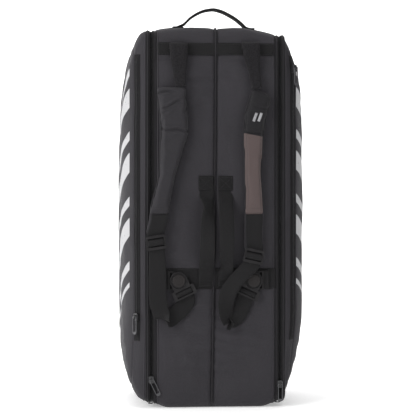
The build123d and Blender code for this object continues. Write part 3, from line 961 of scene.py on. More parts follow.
# ---- sewn body ----
def make_binding():
    """Bound seam between the two compartments, all the way round."""
    _, trim, _ = settings()
    radius = trim.piping_radius * 1.25
    path = []
    for s in np.arange(0, OUTLINE.length, 5 * MM):
        y, z, ny, nz = OUTLINE.at(s)
        out = -radius if nz < -0.5 else 0.9 * MM
        height = noise.noise(Vector((s * 7, 0, 2))) * 0.5 * MM
        path.append((drift(z) * smoothstep(0.6, -0.2, ny), y + ny * (out + height), z + nz * out))
    piece = tube("centre_binding", path, radius, "binding", 10, closed=True)
    settle(piece, "bag_body", "binding", "centre_piping")
    rows = []
    for side in SIDES:
        span = np.arange(S_FRONT_LOW, S_BACK_HIGH, 4 * MM)
        rows.append([gusset_point(side, s, INNER_X + 3.6 * MM, 0.1 * MM) for s in span])
    settle(stitches("binding_stitches", rows), "bag_body", "binding")


def make_divider():
    piece = slab("divider_quilting", -HALF_DIVIDER, HALF_DIVIDER, WALL - 2 * MM, 0, 0,
                 "lining", 70 * MM, 1.1 * MM)
    settle(piece, "bag_body", "lining", "centre_divider")
    low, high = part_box("racket_ties")
    ties = []
    for side, sign in SIDES.items():
        z, half = (low.z + high.z) / 2 / MM, high.y / MM
        rows = [(sign * 3.4, -half, z, 0, 0, 1, 25), (sign * 5.2, -half * 0.6, z, 0, 0, 1, 25),
                (sign * 6.0, 0, z, 0, 0, 1, 24.5), (sign * 5.2, half * 0.6, z, 0, 0, 1, 25),
                (sign * 3.4, half, z, 0, 0, 1, 25)]
        ties.append(ribbon(f"racket_tie_{side}", rows, 1.4 * MM, "webbing"))
    settle(join("racket_tie_elastics", ties), "bag_body", "webbing", "racket_ties")


def make_pipings():
    """Piping in both edges of each main zipper, and beside each coil a pale ridge and a narrow dark fold
    cord; the dark cord is painted shade for the groove of the fold.
    """
    _, trim, _ = settings()
    around = np.arange(0, OUTLINE.length, 5 * MM)

    def cord(name, body, row, radius, material):
        settle(tube(name, row, radius, material, 8, closed=True), body, "binding")

    for side in SIDES:
        cover = f"cover_{side}"
        edge = [gusset_point(side, s, SEAM, 0.2 * MM) for s in around]
        cord(f"seam_piping_{side}", "bag_body", edge, trim.piping_radius, "binding")
        # The fold cord is dark tape colour laid where the groove beside the seam falls in shade: painted
        # shade.
        for name, x, radius, lift, material in (("fold", 120.6, 1.1, -0.2, "tape"),
                                                ("ridge", 117.4, 1.5, -0.5, "shell")):
            row = [gusset_point(side, s, x * MM, lift * MM) for s in around]
            cord(f"seam_{name}_{side}", "bag_body", row, radius * MM, material)
        # On the cover too, the dark fold cord is painted shade for the groove beside the piping.
        for name, level, radius, material in (("fold", 0.5, 1.1, "tape"), ("ridge", 0.95, 1.5, "shell")):
            cord(f"cover_{name}_{side}", cover, pocket_ring(side, level, -0.4 * MM), radius * MM, material)
        cord(f"cover_piping_{side}", cover, pocket_ring(side, 0.0), trim.piping_radius, "binding")


# half, its tape as x and inset from the outline, x of its coil and x of its fold, in mm
ZIP_HALVES = [
    ("body", [(117, 5.4), (124.5, 2.4), (127, 2.8), (130.7, 3.6)], 129.7, 126.7),
    ("cover", [(141, 3.0), (137.5, 2.2), (135, 2.8), (131.3, 3.6)], 132.3, 135.3),
]


def make_zippers():
    _, trim, _ = settings()
    pitch = trim.coil_pitch
    for side in SIDES:
        for part, columns, coil_x, fold_x in ZIP_HALVES:
            body = "bag_body" if part == "body" else f"cover_{side}"
            places = [(x * MM, inset * MM) for x, inset in columns]
            tape = strip(f"zip_tape_{part}_{side}", side, places, "base", 1.0 * MM, "tape")
            fold = [p for p, _ in zip_path(side, fold_x * MM, 0.9 * MM)]
            fold = tube(f"fold_{part}_{side}", fold, 1.7 * MM, "tape", 8)
            piece = join(f"zip_tape_{part}_{side}", [tape, fold])
            settle(piece, body, "zipper_tape", f"zipper_{part}_{side}")
            path = [p for p, _ in zip_path(side, coil_x * MM, 2.4 * MM)]
            turn = (2.9 * MM, pitch * 0.62, 2.2 * MM)
            coil = elements(f"zip_coil_{part}_{side}", [path], pitch, turn, "coil")
            settle(coil, body, "zipper_tape")


def make_hinges():
    """Strip of cloth that joins each cover to the body, round the far side."""
    low_x, high_x = SEAM - 3 * MM, COVER_X + 2 * MM
    for side, sign in SIDES.items():
        columns = [(low_x + (high_x - low_x) * t, (0.6 - 1.6 * sin(pi * t)) * MM)
                   for t in np.linspace(0, 1, 9)]
        piece = strip(f"hinge_cloth_{side}", side, columns, "hinge", 1.6 * MM, "shell")
        if side == "left":
            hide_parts("hinge_tapes")
        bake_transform(piece)


def make_cover_linings():
    for side in SIDES:
        low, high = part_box(f"cover_panel_{side}")
        piece = slab(f"cover_lining_{side}", low.x + 0.2 * MM, high.x - 0.2 * MM, low.z - ZIP_RISE,
                     ZIP_RISE, sag(side, SEAM)[1], "lining", 86 * MM, 0.9 * MM)
        settle(piece, f"cover_{side}", "lining", f"cover_panel_{side}")


POCKET_TAPE = (-6, -2.4, 0, 2.4, 6)     # places across a pocket zipper's tape, in mm


def make_pocket_zips():
    _, trim, _ = settings()
    for side, sign in SIDES.items():
        low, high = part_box(f"pocket_zip_{side}")
        centre = (low + high) / 2
        inward = Vector((-sign * sin(radians(50)), cos(radians(50)), 0))
        across = Vector((sign * cos(radians(50)), sin(radians(50)), 0))
        rows = {u: [] for u in POCKET_TAPE}
        for z in np.arange(low.z - 14 * MM, high.z + 14 * MM, 5 * MM):
            for u, row in rows.items():
                start = Vector((centre.x, centre.y, z)) + across * (u * MM) - inward * 0.06
                spot = on_skin(side, start, inward, 0.5 * MM)
                if spot:
                    row.append(spot)
        count = min(len(row) for row in rows.values())
        points = [rows[u][i] for i in range(count) for u in POCKET_TAPE]
        uvs = [(u * MM, i * 5 * MM) for i in range(count) for u in POCKET_TAPE]
        tape = new_mesh(f"pocket_tape_{side}", points, grid_faces(count, 5), ["tape"], uvs)
        face_out(tape, -inward)
        thicken(tape, 0.9 * MM)
        folds = [tube(f"pocket_fold_{side}_{k}", rows[k], 0.8 * MM, "tape", 6) for k in (-6, 6)]
        tape = join(f"pocket_tape_{side}", [tape, *folds])
        settle(tape, f"cover_{side}", "zipper_tape", f"pocket_zip_{side}")
        line = [p - inward * 0.8 * MM for p in rows[0][2:-2]]
        turn = (4.6 * MM, 1.1 * MM, 1.7 * MM)
        coil = elements(f"pocket_coil_{side}", [line], trim.coil_pitch * 0.8, turn, "coil")
        settle(coil, f"cover_{side}", "zipper_tape")


# ---- webbing on the strap side ----
def follow(rows, lift):
    """Stations laid on the strap side: rows of x, z, across x, across z, width, in mm."""
    return [(x, on_front(x * MM, z * MM, 0).y / MM - lift, z, ax, 0, az, w) for x, z, ax, az, w in rows]


def box_stitch(x0, x1, z0, z1, y):
    corners = [(x0, z0), (x1, z0), (x1, z1), (x0, z1), (x0, z0)]
    return [Vector((x * MM, y * MM, z * MM)) for x, z in corners]


def make_bands():
    for name, (low, high), reach in (("lower", BAND_LOW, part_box("lower_band")[1].x),
                                     ("upper", BAND_HIGH, BAND_HIGH_X + 26 * MM)):
        z, width = (low + high) / 2 / MM, (high - low) / MM
        y = (FRONT - WEB_T / 2) / MM
        across = np.linspace(-reach / MM, reach / MM, 15)
        rows = [(x, y, z + 0.4 * sin(x / 19), 0, 0, 1, width) for x in across]
        band = ribbon(f"{name}_band_webbing", rows, WEB_T, "webbing")
        settle(band, "bag_body", "webbing", f"{name}_band")
        edges = [[Vector((x, FRONT - WEB_T - 0.1 * MM, edge)) for x in np.arange(-reach, reach, 6 * MM)]
                 for edge in (low + 2 * MM, high - 2 * MM)]
        settle(stitches(f"{name}_band_stitches", edges), "bag_body", "webbing")


def make_carry_handles():
    base, rows, patches = FRONT / MM, [], []
    left = [(-19.2, base - 2.4, 446, 1, 0, 0, 30), (-19.0, base - 4, 432, 1, -0.05, 0, 30),
            (-18.4, base - 10, 420, 1, 0.5, 0, 29), (-15.8, base - 19, 404, 1, 1.0, 0.1, 28),
            (-18.2, base - 30, 382, 1, 0.35, 0, 29), (-19.6, base - 36.5, 354, 1, 0.05, 0, 30),
            (-19.8, base - 32, 322, 1, -0.05, 0, 30), (-19.8, base - 19, 298, 1, -0.08, 0, 30),
            (-20.2, base - 8.5, 284, 1, -0.05, 0, 30), (-20.6, base - 3.8, 268, 1, 0, 0, 30),
            (-20.8, base - 3.2, 256, 1, 0, 0, 30)]
    right = [(19.4, base - 2.4, 446, 1, 0, 0, 30), (19.4, base - 4.4, 430, 1, 0.04, 0, 30),
             (19.2, base - 16, 414, 1, 0.1, 0, 30), (19.2, base - 30, 390, 1, 0.1, 0, 30),
             (19.4, base - 37.5, 358, 1, 0.08, 0, 30), (19.4, base - 33, 326, 1, 0.05, -0.1, 30),
             (20.0, base - 20, 302, 1, -0.1, -0.3, 29), (22.0, base - 9, 286, 1, -0.3, -0.45, 27),
             (20.0, base - 4.2, 272, 1, 0, -0.1, 29), (18.6, base - 3.2, 256, 1, 0, 0, 30)]
    for side, stations in (("left", left), ("right", right)):
        piece = ribbon(f"carry_webbing_{side}", stations, 2.6 * MM, "webbing", 3 * MM)
        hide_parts(f"carry_handle_{side}")
        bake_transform(piece)
        x = SIDES[side] * 19.5 + (0 if side == "right" else -0.6)
        upper = follow([(x, z, 1, 0, 30.5) for z in (440, 448, 456, 463, 470)], 0.9)
        patches.append(ribbon(f"carry_patch_high_{side}", upper, 1.8 * MM, "webbing"))
        lower_y = base - 2.4
        lower = [(x, lower_y, z, 1, 0, 0, 30.5) for z in (245, 252, 260, 268, 279)]
        patches.append(ribbon(f"carry_patch_low_{side}", lower, 1.8 * MM, "webbing"))
        y = upper[2][1] - 1.8
        x0, x1, z0, z1 = x - 13, x + 13, 442.5, 467
        rows += [box_stitch(x0, x1, z0, z1, y), box_stitch(x0, x1, 248, 276, lower_y - 2.0)]
        for start, end in ((x0, x1), (x1, x0)):
            rows.append([Vector((start, y, z0)) * MM, Vector((end, y, z1)) * MM])
    settle(join("carry_patch_webbing", patches), "bag_body", "webbing", "carry_patches")
    settle(stitches("carry_patch_stitches", rows, "thread"), "bag_body", "webbing")


def on_top(x, y, extra=0.0):
    """Place on the top end, from a signed x and a y."""
    side = "left" if x < 0 else "right"
    s = S_TOP + y - (FRONT + CORNERS[3])
    return gusset_point(side, s, max(abs(x), INNER_X), extra)


S_TOP = OUTLINE.find(lambda y, z: z > LENGTH - 0.02 * MM)


def make_top_handle():
    low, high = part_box("top_handle")
    y, width = (low.y + high.y) / 2 / MM, (high.y - low.y) / MM
    base = LENGTH / MM
    foot = {sign: on_top(sign * 0.072, y * MM).z / MM for sign in (-1, 1)}
    arch = [(-86, foot[-1] + 1.4), (-78, foot[-1] + 1.8), (-70, foot[-1] + 5), (-62, base + 11),
            (-48, base + 24.5), (-27, base + 36.3), (-9, base + 40.6), (3, base + 40.4),
            (20, base + 35), (41, base + 23.5), (55, base + 12.5),
            (63, foot[1] + 5), (71, foot[1] + 1.8), (82, foot[1] + 1.4)]
    rows = [(x, y + 0.6 * sin(x / 21), z, 0, 1, 0, width) for x, z in arch]
    piece = ribbon("top_handle_webbing", rows, 4.4 * MM, "webbing", 3 * MM)
    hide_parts("top_handle")
    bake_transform(piece)
    tails, rows = [], []
    for side, sign in SIDES.items():
        stations = []
        for x in (64, 72, 84, 96, 108, 121):
            spot = on_top(sign * x * MM, y * MM, 1.0 * MM)
            stations.append((spot.x / MM, y, spot.z / MM, 0, 1, 0, width))
        tails.append(ribbon(f"tail_{side}", stations, 1.8 * MM, "webbing"))
        for x in (74, 78, 90):
            height = on_top(sign * x * MM, y * MM, 4.0 * MM if x < 80 else 2.2 * MM).z
            rows.append([Vector((sign * x * MM, (y + k * width) * MM, height)) for k in (-0.44, 0.44)])
    settle(join("top_handle_tail_webbing", tails), "bag_body", "webbing", "top_handle_tails")
    settle(stitches("top_handle_bartacks", rows, "pale_thread", 0.9 * MM), "bag_body", "webbing")


def make_tabs():
    """Short webbing tab beside each swivel, tucked into the outer seam."""
    low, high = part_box("buckle_tabs")
    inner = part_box("swivel_bases")[1].x / MM + 1
    z, width = (low.z + high.z) / 2 / MM, (high.z - low.z) / MM
    tabs = []
    for side, sign in SIDES.items():
        x0, x1 = inner - 5, high.x / MM
        y = (low.y + high.y) / 2 / MM
        rows = [(sign * (x0 + (x1 - x0) * t), y - 0.6 * sin(pi * t), z, 0, 0, 1, width)
                for t in (0, 0.25, 0.5, 0.75, 1)]
        tabs.append(ribbon(f"tab_{side}", rows, 2.6 * MM, "webbing", 3 * MM))
    settle(join("buckle_tab_webbing", tabs), "bag_body", "webbing", "buckle_tabs")


def circle(x, z, radius, y):
    turns = [tau * k / 40 for k in range(40)]
    return [(x + radius * cos(a), y, z + radius * sin(a)) for a in turns]


def make_swivel_rims():
    """Raised rings moulded on each swivel plate and cap."""
    plate_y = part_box("swivel_plate_right")[0].y
    cap_low, cap_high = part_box("swivel_rivets")
    centre_z = (cap_low.z + cap_high.z) / 2
    hub = cap_high.x - (cap_high.z - cap_low.z) / 2
    for side, sign in SIDES.items():
        rim = circle(sign * hub, centre_z, 16.7 * MM, plate_y)
        rim = tube(f"swivel_rim_{side}", rim, 1.2 * MM, "buckle", 8, closed=True)
        settle(rim, f"swivel_{side}", "buckle_plastic")
        step = circle(sign * hub, centre_z, 7.4 * MM, cap_low.y + 0.2 * MM)
        step = tube(f"cap_step_{side}", step, 0.6 * MM, "cap", 6, closed=True)
        settle(step, "bag_body", "buckle_cap")


# ---- shoulder straps ----
# height, x, slope, half length, half width and depth in mm: creases across the front of each pad
PAD_CREASES = {
    "left": [(637, -110, 0.0, 24, 2.2, 2.4), (612, -92, 0.42, 20, 2.4, 2.2), (598, -104, 0.5, 16, 4, 1.0),
             (562, -86, -0.08, 32, 2.6, 2.6), (548, -80, 0.25, 22, 6, 0.9), (500, -96, -0.05, 30, 7, 0.6)],
    "right": [(556, 74, -0.16, 40, 1.6, 2.0), (606, 92, -0.35, 20, 3, 1.2), (480, 74, 0.05, 30, 9, 0.5)],
}


def copy_node(name, node):
    """A merged copy of a CAD node's mesh."""
    data = NODES[node].data.copy()
    data.transform(NODES[node].matrix_world)
    data.materials.clear()
    return clean(add_object(name, data), 0.01 * MM)


def remesh(piece, voxel, smoothing):
    modifier = piece.modifiers.new("voxels", "REMESH")
    modifier.mode = "VOXEL"
    modifier.voxel_size = voxel
    modifier = piece.modifiers.new("relax", "SMOOTH")
    modifier.factor = 0.5
    modifier.iterations = smoothing
    return bake_modifiers(piece)


STUFFING_FRAMES = 20
PAD_SQUEEZE = 0.62       # share of the CAD pad's thickness that is kept before stuffing
PAD_VOXEL = 3.6 * MM
PAD_PRESSURE = 4.0
PAD_REACH = 5 * MM


def inflate(piece, pressure, reach):
    """Stuffs a closed cloth shell, and stops any point that moves further than reach."""
    scene = bpy.context.scene
    rest = np.array([v.co for v in piece.data.vertices])
    cloth = piece.modifiers.new("stuffing", "CLOTH")
    cloth.settings.use_pressure = True
    cloth.settings.uniform_pressure_force = pressure
    cloth.settings.effector_weights.gravity = 0
    cloth.settings.quality = 6
    cloth.settings.tension_stiffness = 25
    cloth.settings.compression_stiffness = 25
    cloth.settings.bending_stiffness = 2
    cloth.collision_settings.use_collision = False
    cloth.point_cache.frame_start = 1
    cloth.point_cache.frame_end = STUFFING_FRAMES
    for number in range(1, STUFFING_FRAMES + 1):
        scene.frame_set(number)
    graph = bpy.context.evaluated_depsgraph_get()
    swollen = piece.evaluated_get(graph).to_mesh()
    moved = np.array([v.co for v in swollen.vertices]) - rest
    piece.evaluated_get(graph).to_mesh_clear()
    piece.modifiers.clear()
    scene.frame_set(1)
    far = np.linalg.norm(moved, axis=1)[:, None]
    moved *= np.minimum(1, reach / np.maximum(far, 1e-9))
    piece.data.vertices.foreach_set("co", (rest + moved).astype(np.float32).ravel())
    piece.data.update()
    return piece


def refine(piece, levels=1):
    modifier = piece.modifiers.new("finer", "SUBSURF")
    modifier.levels = levels
    modifier.render_levels = levels
    return bake_modifiers(piece)


def make_pad(side):
    piece = copy_node(f"strap_padding_{side}", f"strap_pad_{side}")
    low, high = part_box(f"strap_pad_{side}")
    middle = (low.y + high.y) / 2
    for vertex in piece.data.vertices:
        vertex.co.y = middle + (vertex.co.y - middle) * PAD_SQUEEZE
    remesh(piece, PAD_VOXEL, 6)
    inflate(piece, PAD_PRESSURE, PAD_REACH)
    refine(piece)
    coordinates = np.array([v.co for v in piece.data.vertices])
    for index, (x, y, z) in enumerate(coordinates):
        front = smoothstep(middle - 0.5 * MM, middle - 3 * MM, y)
        move = 0.0
        for z0, x0, slope, half, width, depth in PAD_CREASES[side]:
            dx = x / MM - x0
            dz = z / MM - z0 - slope * dx - 1.2 * sin(dx / 7)
            window = exp(-(dx / half) ** 4)
            ridge = exp(-((abs(dz) - 2.2 * width) / width) ** 2)
            move += 1.2 * depth * window * (exp(-(dz / width) ** 2) - 0.5 * ridge)
        move += 0.7 * noise.fractal(Vector((x * 22, z * 14, SIDES[side])), 0.6, 2.0, 3)
        coordinates[index, 1] = y + move * MM * front
    piece.data.vertices.foreach_set("co", coordinates.astype(np.float32).ravel())
    piece.data.materials.clear()
    piece.data.materials.append(MATERIALS[f"strap_{side}"])
    piece.data.shade_smooth()
    remember_skin(f"pad_{side}", piece)
    settle(piece, f"strap_{side}", "strap_fabric", f"strap_pad_{side}")
    return piece


def pad_edges(piece, z):
    """Lowest and highest x of a pad near this height."""
    xs = [v.co.x for v in piece.data.vertices if abs(v.co.z - z) < 2.5 * MM]
    return (min(xs), max(xs)) if xs else None


def make_pad_trim(side, pad):
    low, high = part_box(f"strap_pad_{side}")
    middle = (low.y + high.y) / 2
    levels = np.linspace(low.z + 5 * MM, high.z - 5 * MM, 48)
    spans = [pad_edges(pad, z) for z in levels]
    walls = [[(span[k], z) for span, z in zip(spans, levels)] for k in (0, 1)]
    loop = walls[0] + walls[1][::-1]
    smooth = np.array([(x, middle, z) for x, z in loop])
    for _ in range(3):
        smooth = (np.roll(smooth, 1, 0) + 2 * smooth + np.roll(smooth, -1, 0)) / 4
    edge = tube(f"pad_binding_{side}", smooth, 1.9 * MM, "binding", 8, closed=True)
    settle(edge, f"strap_{side}", "binding")
    rows = []
    for k, inward in ((0, 1), (1, -1)):
        row = [on_skin(f"pad_{side}", (x + inward * 4.5 * MM, FRONT - 60 * MM, z), (0, 1, 0), 0.15 * MM)
               for x, z in walls[k]]
        rows.append([p for p in row if p])
    for z in (low.z + 6 * MM, low.z + 15 * MM):
        span = pad_edges(pad, z)
        row = [on_skin(f"pad_{side}", (x, FRONT - 60 * MM, z), (0, 1, 0), 0.15 * MM)
               for x in np.linspace(span[0] + 5 * MM, span[1] - 5 * MM, 12)]
        rows.append([p for p in row if p])
    settle(stitches(f"pad_stitches_{side}", rows), f"strap_{side}", "strap_fabric")


def make_badge():
    """Plain moulded patch on the right strap: two slanted rubber ribs."""
    centre_x, centre_z = 82.5, 588
    pieces = []
    for shift in (-5.4, 4.6):
        rows = []
        for t in np.linspace(-1, 1, 7):
            x, z = centre_x + shift + 3.2 * t, centre_z + 8.5 * t
            spot = on_skin("pad_right", (x * MM, FRONT - 60 * MM, z * MM), (0, 1, 0), 0.5 * MM)
            rows.append((x, spot.y / MM, z, 1, 0, 0, 5.4))
        pieces.append(ribbon(f"badge_rib_{int(shift > 0)}", rows, 1.2 * MM, "badge", 3 * MM))
    settle(join("strap_badge", pieces), "strap_right", "strap_lining")


UPPERS = {
    "left": [(-76, -167.4, 726, 37), (-76, -170.5, 733, 37), (-76, -174.2, 737, 37),
             (-76, -178.2, 733, 36.5), (-75.8, -178.5, 717, 35.5), (-75.2, -178.2, 698, 32),
             (-74.4, -179.2, 678, 27), (-73.6, -182.5, 660, 23), (-72.4, -184.0, 650, 20)],
    "right": [(70, -167.4, 727, 36), (70, -170.5, 735, 36), (70, -174.2, 739.5, 36),
              (70.2, -178.2, 735, 35.5), (71.6, -178.6, 718, 34), (74.4, -178.4, 698, 29),
              (77.5, -179.2, 678, 24), (79.5, -182, 660, 22), (81.5, -184.0, 646, 22)],
}
TAILS = {
    "left": {
        "run": [(-121.6, -184.4, 329, 1, 0, 0.16, 32), (-120.4, -184.6, 318, 1, 0, 0.16, 32),
                (-119.6, -184, 290, 1, 0, 0.06, 34), (-119.5, -183.2, 250, 1, 0.02, 0, 36),
                (-118, -183.0, 218, 1, 0.03, -0.15, 36), (-113, -182.2, 197, 1, 0, -0.5, 34),
                (-108, -179.6, 185, 1, 0, -0.68, 33), (-102, -175.5, 179, 1, 0, -0.72, 33)],
        "back": [(-102, -175.5, 179, 1, 0, -0.72, 33), (-95, -171.6, 180, 1, 0, -0.70, 33),
                 (-86, -169.9, 187, 1, 0, -0.60, 34), (-73, -169.4, 198, 1, 0, -0.25, 34),
                 (-60, -169.6, 214, 1, 0, 0.30, 33)],
    },
    "right": {
        "run": [(74.2, -184.4, 302, 1, 0, -0.21, 32), (71.2, -184.6, 291, 1, 0, -0.3, 32),
                (54, -184.4, 274, 0.85, -0.3, -0.5, 32), (34.5, -184.0, 254, 0.75, -0.4, -0.45, 31),
                (22.5, -183.0, 231, 0.95, -0.1, -0.35, 33), (18.5, -182.6, 207, 1, 0.3, -0.1, 33),
                (19.5, -181.0, 187, 1, 0.55, 0, 30), (24, -177.6, 173, 1, 0.8, 0, 27)],
        "back": [(24, -177.6, 173, 1, 0.8, 0, 27), (30.5, -173.6, 170, 1, 0.7, 0.2, 27),
                 (40, -170.8, 180, 1, 0.25, 0.1, 31), (49.5, -169.8, 197, 1, 0.0, -0.15, 33),
                 (57, -169.6, 214, 1, 0, -0.35, 33)],
    },
}
# distance below the swivel's pivot and y of the last stretch, woven through the two slots
SLOT_RUN = [(36.0, -170.2), (32.0, -172.2), (29.9, -175.8), (26.5, -176.9), (23.1, -175.8),
            (21.2, -172.4), (18.5, -170.4)]
SWIVEL_LEAN = radians(25.5)


def through_slots(side):
    """Stations of the webbing round a swivel's middle bar."""
    low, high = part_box("swivel_rivets")
    hub_z = (low.z + high.z) / 2 / MM
    hub_x = high.x / MM - (high.z - low.z) / 2 / MM
    sign = SIDES[side]
    rows = []
    for depth, y in SLOT_RUN:
        x, z = hub_x - depth * sin(SWIVEL_LEAN), hub_z - depth * cos(SWIVEL_LEAN)
        rows.append((sign * x, y, z, cos(SWIVEL_LEAN), 0, -sign * sin(SWIVEL_LEAN), 32.5))
    return rows


LOCK_TURN = {"left": radians(-9), "right": radians(12)}
# height above a ladder lock's middle and y of the webbing that is woven through it
LOCK_RUN = [(14, -183.4), (9, -183.4), (6.6, -184.2), (5.6, -187.4), (4, -190.1), (-4, -190.1),
            (-5.6, -187.4), (-6.6, -184.2), (-9, -183.4)]


def make_straps():
    for side in SIDES:
        pad = make_pad(side)
        make_pad_trim(side, pad)
        rows = [(x, y, z, 1, 0, 0, w) for x, y, z, w in UPPERS[side]]
        upper = ribbon(f"strap_mesh_{side}", rows, 4.2 * MM, "mesh", 3 * MM)
        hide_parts(f"strap_upper_{side}", f"strap_anchor_{side}")
        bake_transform(upper)
        low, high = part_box(f"ladder_lock_{side}")
        lock = (low + high) / 2
        pad_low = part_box(f"strap_pad_{side}")[0]
        lean = sin(LOCK_TURN[side])
        pad_x = sum(pad_edges(pad, pad_low.z + 8 * MM)) / 2 / MM
        x, z, y = lock.x / MM, lock.z / MM, -183.4
        top = pad_low.z / MM
        rows = [(pad_x, -184.6, top + 3, 1, 0, 0, 33), (pad_x, -184.6, top - 8, 1, 0, 0, 33),
                (x * 0.6 + pad_x * 0.4, y - 0.6, (z + top) / 2 + 2, 1, 0, -lean / 2, 32)]
        rows += [(x + lean * up, depth, z + up, 1, 0, -lean, 32) for up, depth in LOCK_RUN]
        tongue = [(pad_x, -181.2, top + 6, 1, 0, 0, 38),
                  (pad_x * 0.7 + x * 0.3, -181, top - 10, 1, 0, 0, 38),
                  (x, -181, z + 22, 1, 0, -lean, 37.5), (x + lean * 14, -181, z + 15, 1, 0, -lean, 37)]
        tongue = ribbon(f"pad_tongue_{side}", tongue, 3 * MM, "strap_left", 3 * MM)
        settle(tongue, f"strap_{side}", "strap_fabric")
        web = ribbon(f"strap_webbing_{side}", rows, 1.6 * MM, "webbing", 3 * MM)
        settle(web, f"strap_{side}", "webbing", f"strap_web_{side}")
        run = ribbon(f"tail_run_{side}", TAILS[side]["run"], 1.5 * MM, "webbing", 3 * MM)
        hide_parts(f"strap_tail_{side}")
        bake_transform(run)
        stations = TAILS[side]["back"] + through_slots(side)
        back = ribbon(f"tail_return_{side}", stations, 1.5 * MM, "webbing", 2 * MM)
        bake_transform(back)
    make_badge()


# ---- hardware that keeps its CAD shape ----
HARDWARE = {
    "slider_front": "slider", "slider_end": "slider", "slider_pocket": "slider", "pull_front": "pull",
    "pull_end": "slider", "pull_pocket": "pull", "swivel_plate": "buckle", "ladder_lock": "buckle",
    "swivel_bases": "buckle", "swivel_rivets": "cap", "spine_boards": "board", "base_boards": "board",
}


def finish_hardware():
    for name, node in NODES.items():
        for start, material in HARDWARE.items():
            if name.startswith(start):
                for slot in node.material_slots:
                    slot.material = MATERIALS[material]


# ---- stage ----
SENSOR = 36
AIM_X, AIM_Z = -16 * MM, 405 * MM
# name, place, aim, size in metres, power in watts
LIGHTS = [
    ("key", (-2.6, -2.4, 1.9), (0, 0, 0.42), (1.6, 1.6), 66),
    ("fill", (2.3, -2.4, 1.2), (0, 0, 0.4), (1.6, 1.6), 5),
    ("side", (-3.2, -0.4, 1.0), (-0.1, 0, 0.4), (1.2, 1.6), 30),
    ("top", (0, -0.2, 2.8), (0, 0, 0.4), (2.4, 2.4), 30),
    ("wash", (0, 3.6, 4.2), (0, 5.8, 0.6), (5.0, 2.0), 220),
]
WORLD_STRENGTH = 0.36
PAPER_GLOW = 0.33        # keeps the backdrop white where the lamps fall off


def make_camera():
    _, _, stage = settings()
    data = bpy.data.cameras.new("camera")
    data.sensor_width = SENSOR
    data.lens = SENSOR * stage.distance / stage.view_width
    camera = add_object("camera", data)
    aim = Vector((AIM_X, FRONT, AIM_Z))
    back = Vector((sin(stage.azimuth), -cos(stage.azimuth), 0))
    camera.location = aim + back * stage.distance
    camera.rotation_euler = (-back).to_track_quat("-Z", "Y").to_euler()
    bpy.context.scene.camera = camera


def area_light(name, place, aim, size, power):
    data = bpy.data.lights.new(name, "AREA")
    data.shape = "RECTANGLE"
    data.size, data.size_y = size
    data.energy = power
    lamp = add_object(name, data)
    lamp.location = place
    lamp.rotation_euler = (Vector(aim) - Vector(place)).to_track_quat("-Z", "Y").to_euler()


def make_studio():
    material = bpy.data.materials.new("paper_backdrop")
    material.use_nodes = True
    shader = material.node_tree.nodes["Principled BSDF"]
    shader.inputs["Base Color"].default_value = (0.93, 0.93, 0.93, 1)
    shader.inputs["Roughness"].default_value = 0.9
    shader.inputs["Emission Color"].default_value = (1, 1, 1, 1)
    shader.inputs["Emission Strength"].default_value = PAPER_GLOW
    half, near, far, radius, tall = 7.0, -7.0, 5.4, 1.4, 6.0
    profile = [(near, 0.0), (far, 0.0)]
    profile += [(far + radius * sin(a), radius * (1 - cos(a))) for a in np.linspace(0.1, pi / 2, 12)]
    profile.append((far + radius, tall))
    points = [(x, y, z) for y, z in profile for x in (-half, half)]
    data = bpy.data.meshes.new("backdrop")
    data.from_pydata(points, [], grid_faces(len(profile), 2))
    data.materials.append(material)
    data.shade_smooth()
    add_object("backdrop", data)
    world = bpy.context.scene.world or bpy.data.worlds.new("studio")
    bpy.context.scene.world = world
    world.use_nodes = True
    back = world.node_tree.nodes["Background"]
    back.inputs["Color"].default_value = (1, 1, 1, 1)
    back.inputs["Strength"].default_value = WORLD_STRENGTH
    for row in LIGHTS:
        area_light(*row)
    bpy.context.scene.view_settings.view_transform = "Standard"


# ---- operators ----
class BAG_OT_gussets(bpy.types.Operator):
    """Make the sewn panels of both compartments"""
    bl_idname = "bag.gussets"
    bl_label = "Body panels"

    def execute(self, context):
        for node in PANELS:
            make_gussets(node)
        make_binding()
        return {"FINISHED"}


class BAG_OT_inside(bpy.types.Operator):
    """Make the padded divider and its racket ties"""
    bl_idname = "bag.inside"
    bl_label = "Divider"

    def execute(self, context):
        make_divider()
        return {"FINISHED"}


class BAG_OT_covers(bpy.types.Operator):
    """Make the side covers with their pockets and linings"""
    bl_idname = "bag.covers"
    bl_label = "Side covers"

    def execute(self, context):
        for side in SIDES:
            make_pocket(side)
        make_cover_linings()
        make_hinges()
        return {"FINISHED"}


class BAG_OT_zippers(bpy.types.Operator):
    """Make the zipper coils, tapes and pipings"""
    bl_idname = "bag.zippers"
    bl_label = "Zippers"

    def execute(self, context):
        make_zippers()
        make_pipings()
        make_pocket_zips()
        return {"FINISHED"}


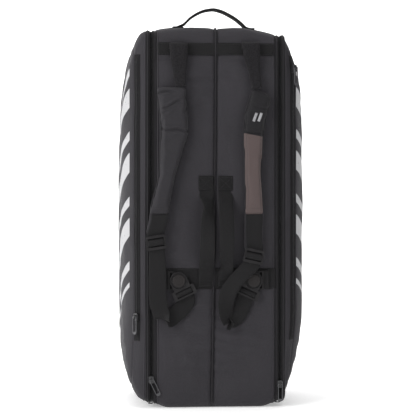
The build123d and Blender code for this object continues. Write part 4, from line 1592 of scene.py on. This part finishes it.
class BAG_OT_webbing(bpy.types.Operator):
    """Make the cross bands, handles and tabs"""
    bl_idname = "bag.webbing"
    bl_label = "Bands and handles"

    def execute(self, context):
        make_bands()
        make_carry_handles()
        make_top_handle()
        make_tabs()
        return {"FINISHED"}


class BAG_OT_straps(bpy.types.Operator):
    """Make the shoulder straps with their webbing tails"""
    bl_idname = "bag.straps"
    bl_label = "Shoulder straps"

    def execute(self, context):
        make_straps()
        return {"FINISHED"}


class BAG_OT_hardware(bpy.types.Operator):
    """Finish the buckles, locks, sliders and boards"""
    bl_idname = "bag.hardware"
    bl_label = "Hardware"

    def execute(self, context):
        finish_hardware()
        make_swivel_rims()
        return {"FINISHED"}


class BAG_OT_stage(bpy.types.Operator):
    """Make the camera, the lights and the backdrop"""
    bl_idname = "bag.stage"
    bl_label = "Stage"

    def execute(self, context):
        make_camera()
        make_studio()
        return {"FINISHED"}


OPERATORS = (BAG_OT_stage, BAG_OT_gussets, BAG_OT_inside, BAG_OT_covers, BAG_OT_zippers, BAG_OT_webbing,
             BAG_OT_straps, BAG_OT_hardware)


class BAG_PT_panel(bpy.types.Panel):
    """Lists the steps that make the bag"""
    bl_idname = "BAG_PT_panel"
    bl_label = "Racket Bag"
    bl_space_type = "VIEW_3D"
    bl_region_type = "UI"
    bl_category = "Racket Bag"

    def draw(self, context):
        for group in settings():
            for name in group.bl_rna.properties.keys():
                if name not in ("rna_type", "name"):
                    self.layout.prop(group, name)
        for operator in OPERATORS:
            self.layout.operator(operator.bl_idname)


SETTINGS = {"bag_fabric": BagFabricSettings, "bag_trim": BagTrimSettings, "bag_stage": BagStageSettings}


def register():
    for kind in (*SETTINGS.values(), *OPERATORS, BAG_PT_panel):
        bpy.utils.register_class(kind)
    for name, kind in SETTINGS.items():
        setattr(bpy.types.Scene, name, PointerProperty(type=kind))


def unregister():
    for name in SETTINGS:
        delattr(bpy.types.Scene, name)
    for kind in (BAG_PT_panel, *OPERATORS[::-1], *SETTINGS.values()):
        bpy.utils.unregister_class(kind)


def main():
    register()
    make_materials()
    for operator in OPERATORS:
        group, name = operator.bl_idname.split(".")
        getattr(getattr(bpy.ops, group), name)()


if __name__ == "__main__":
    main()
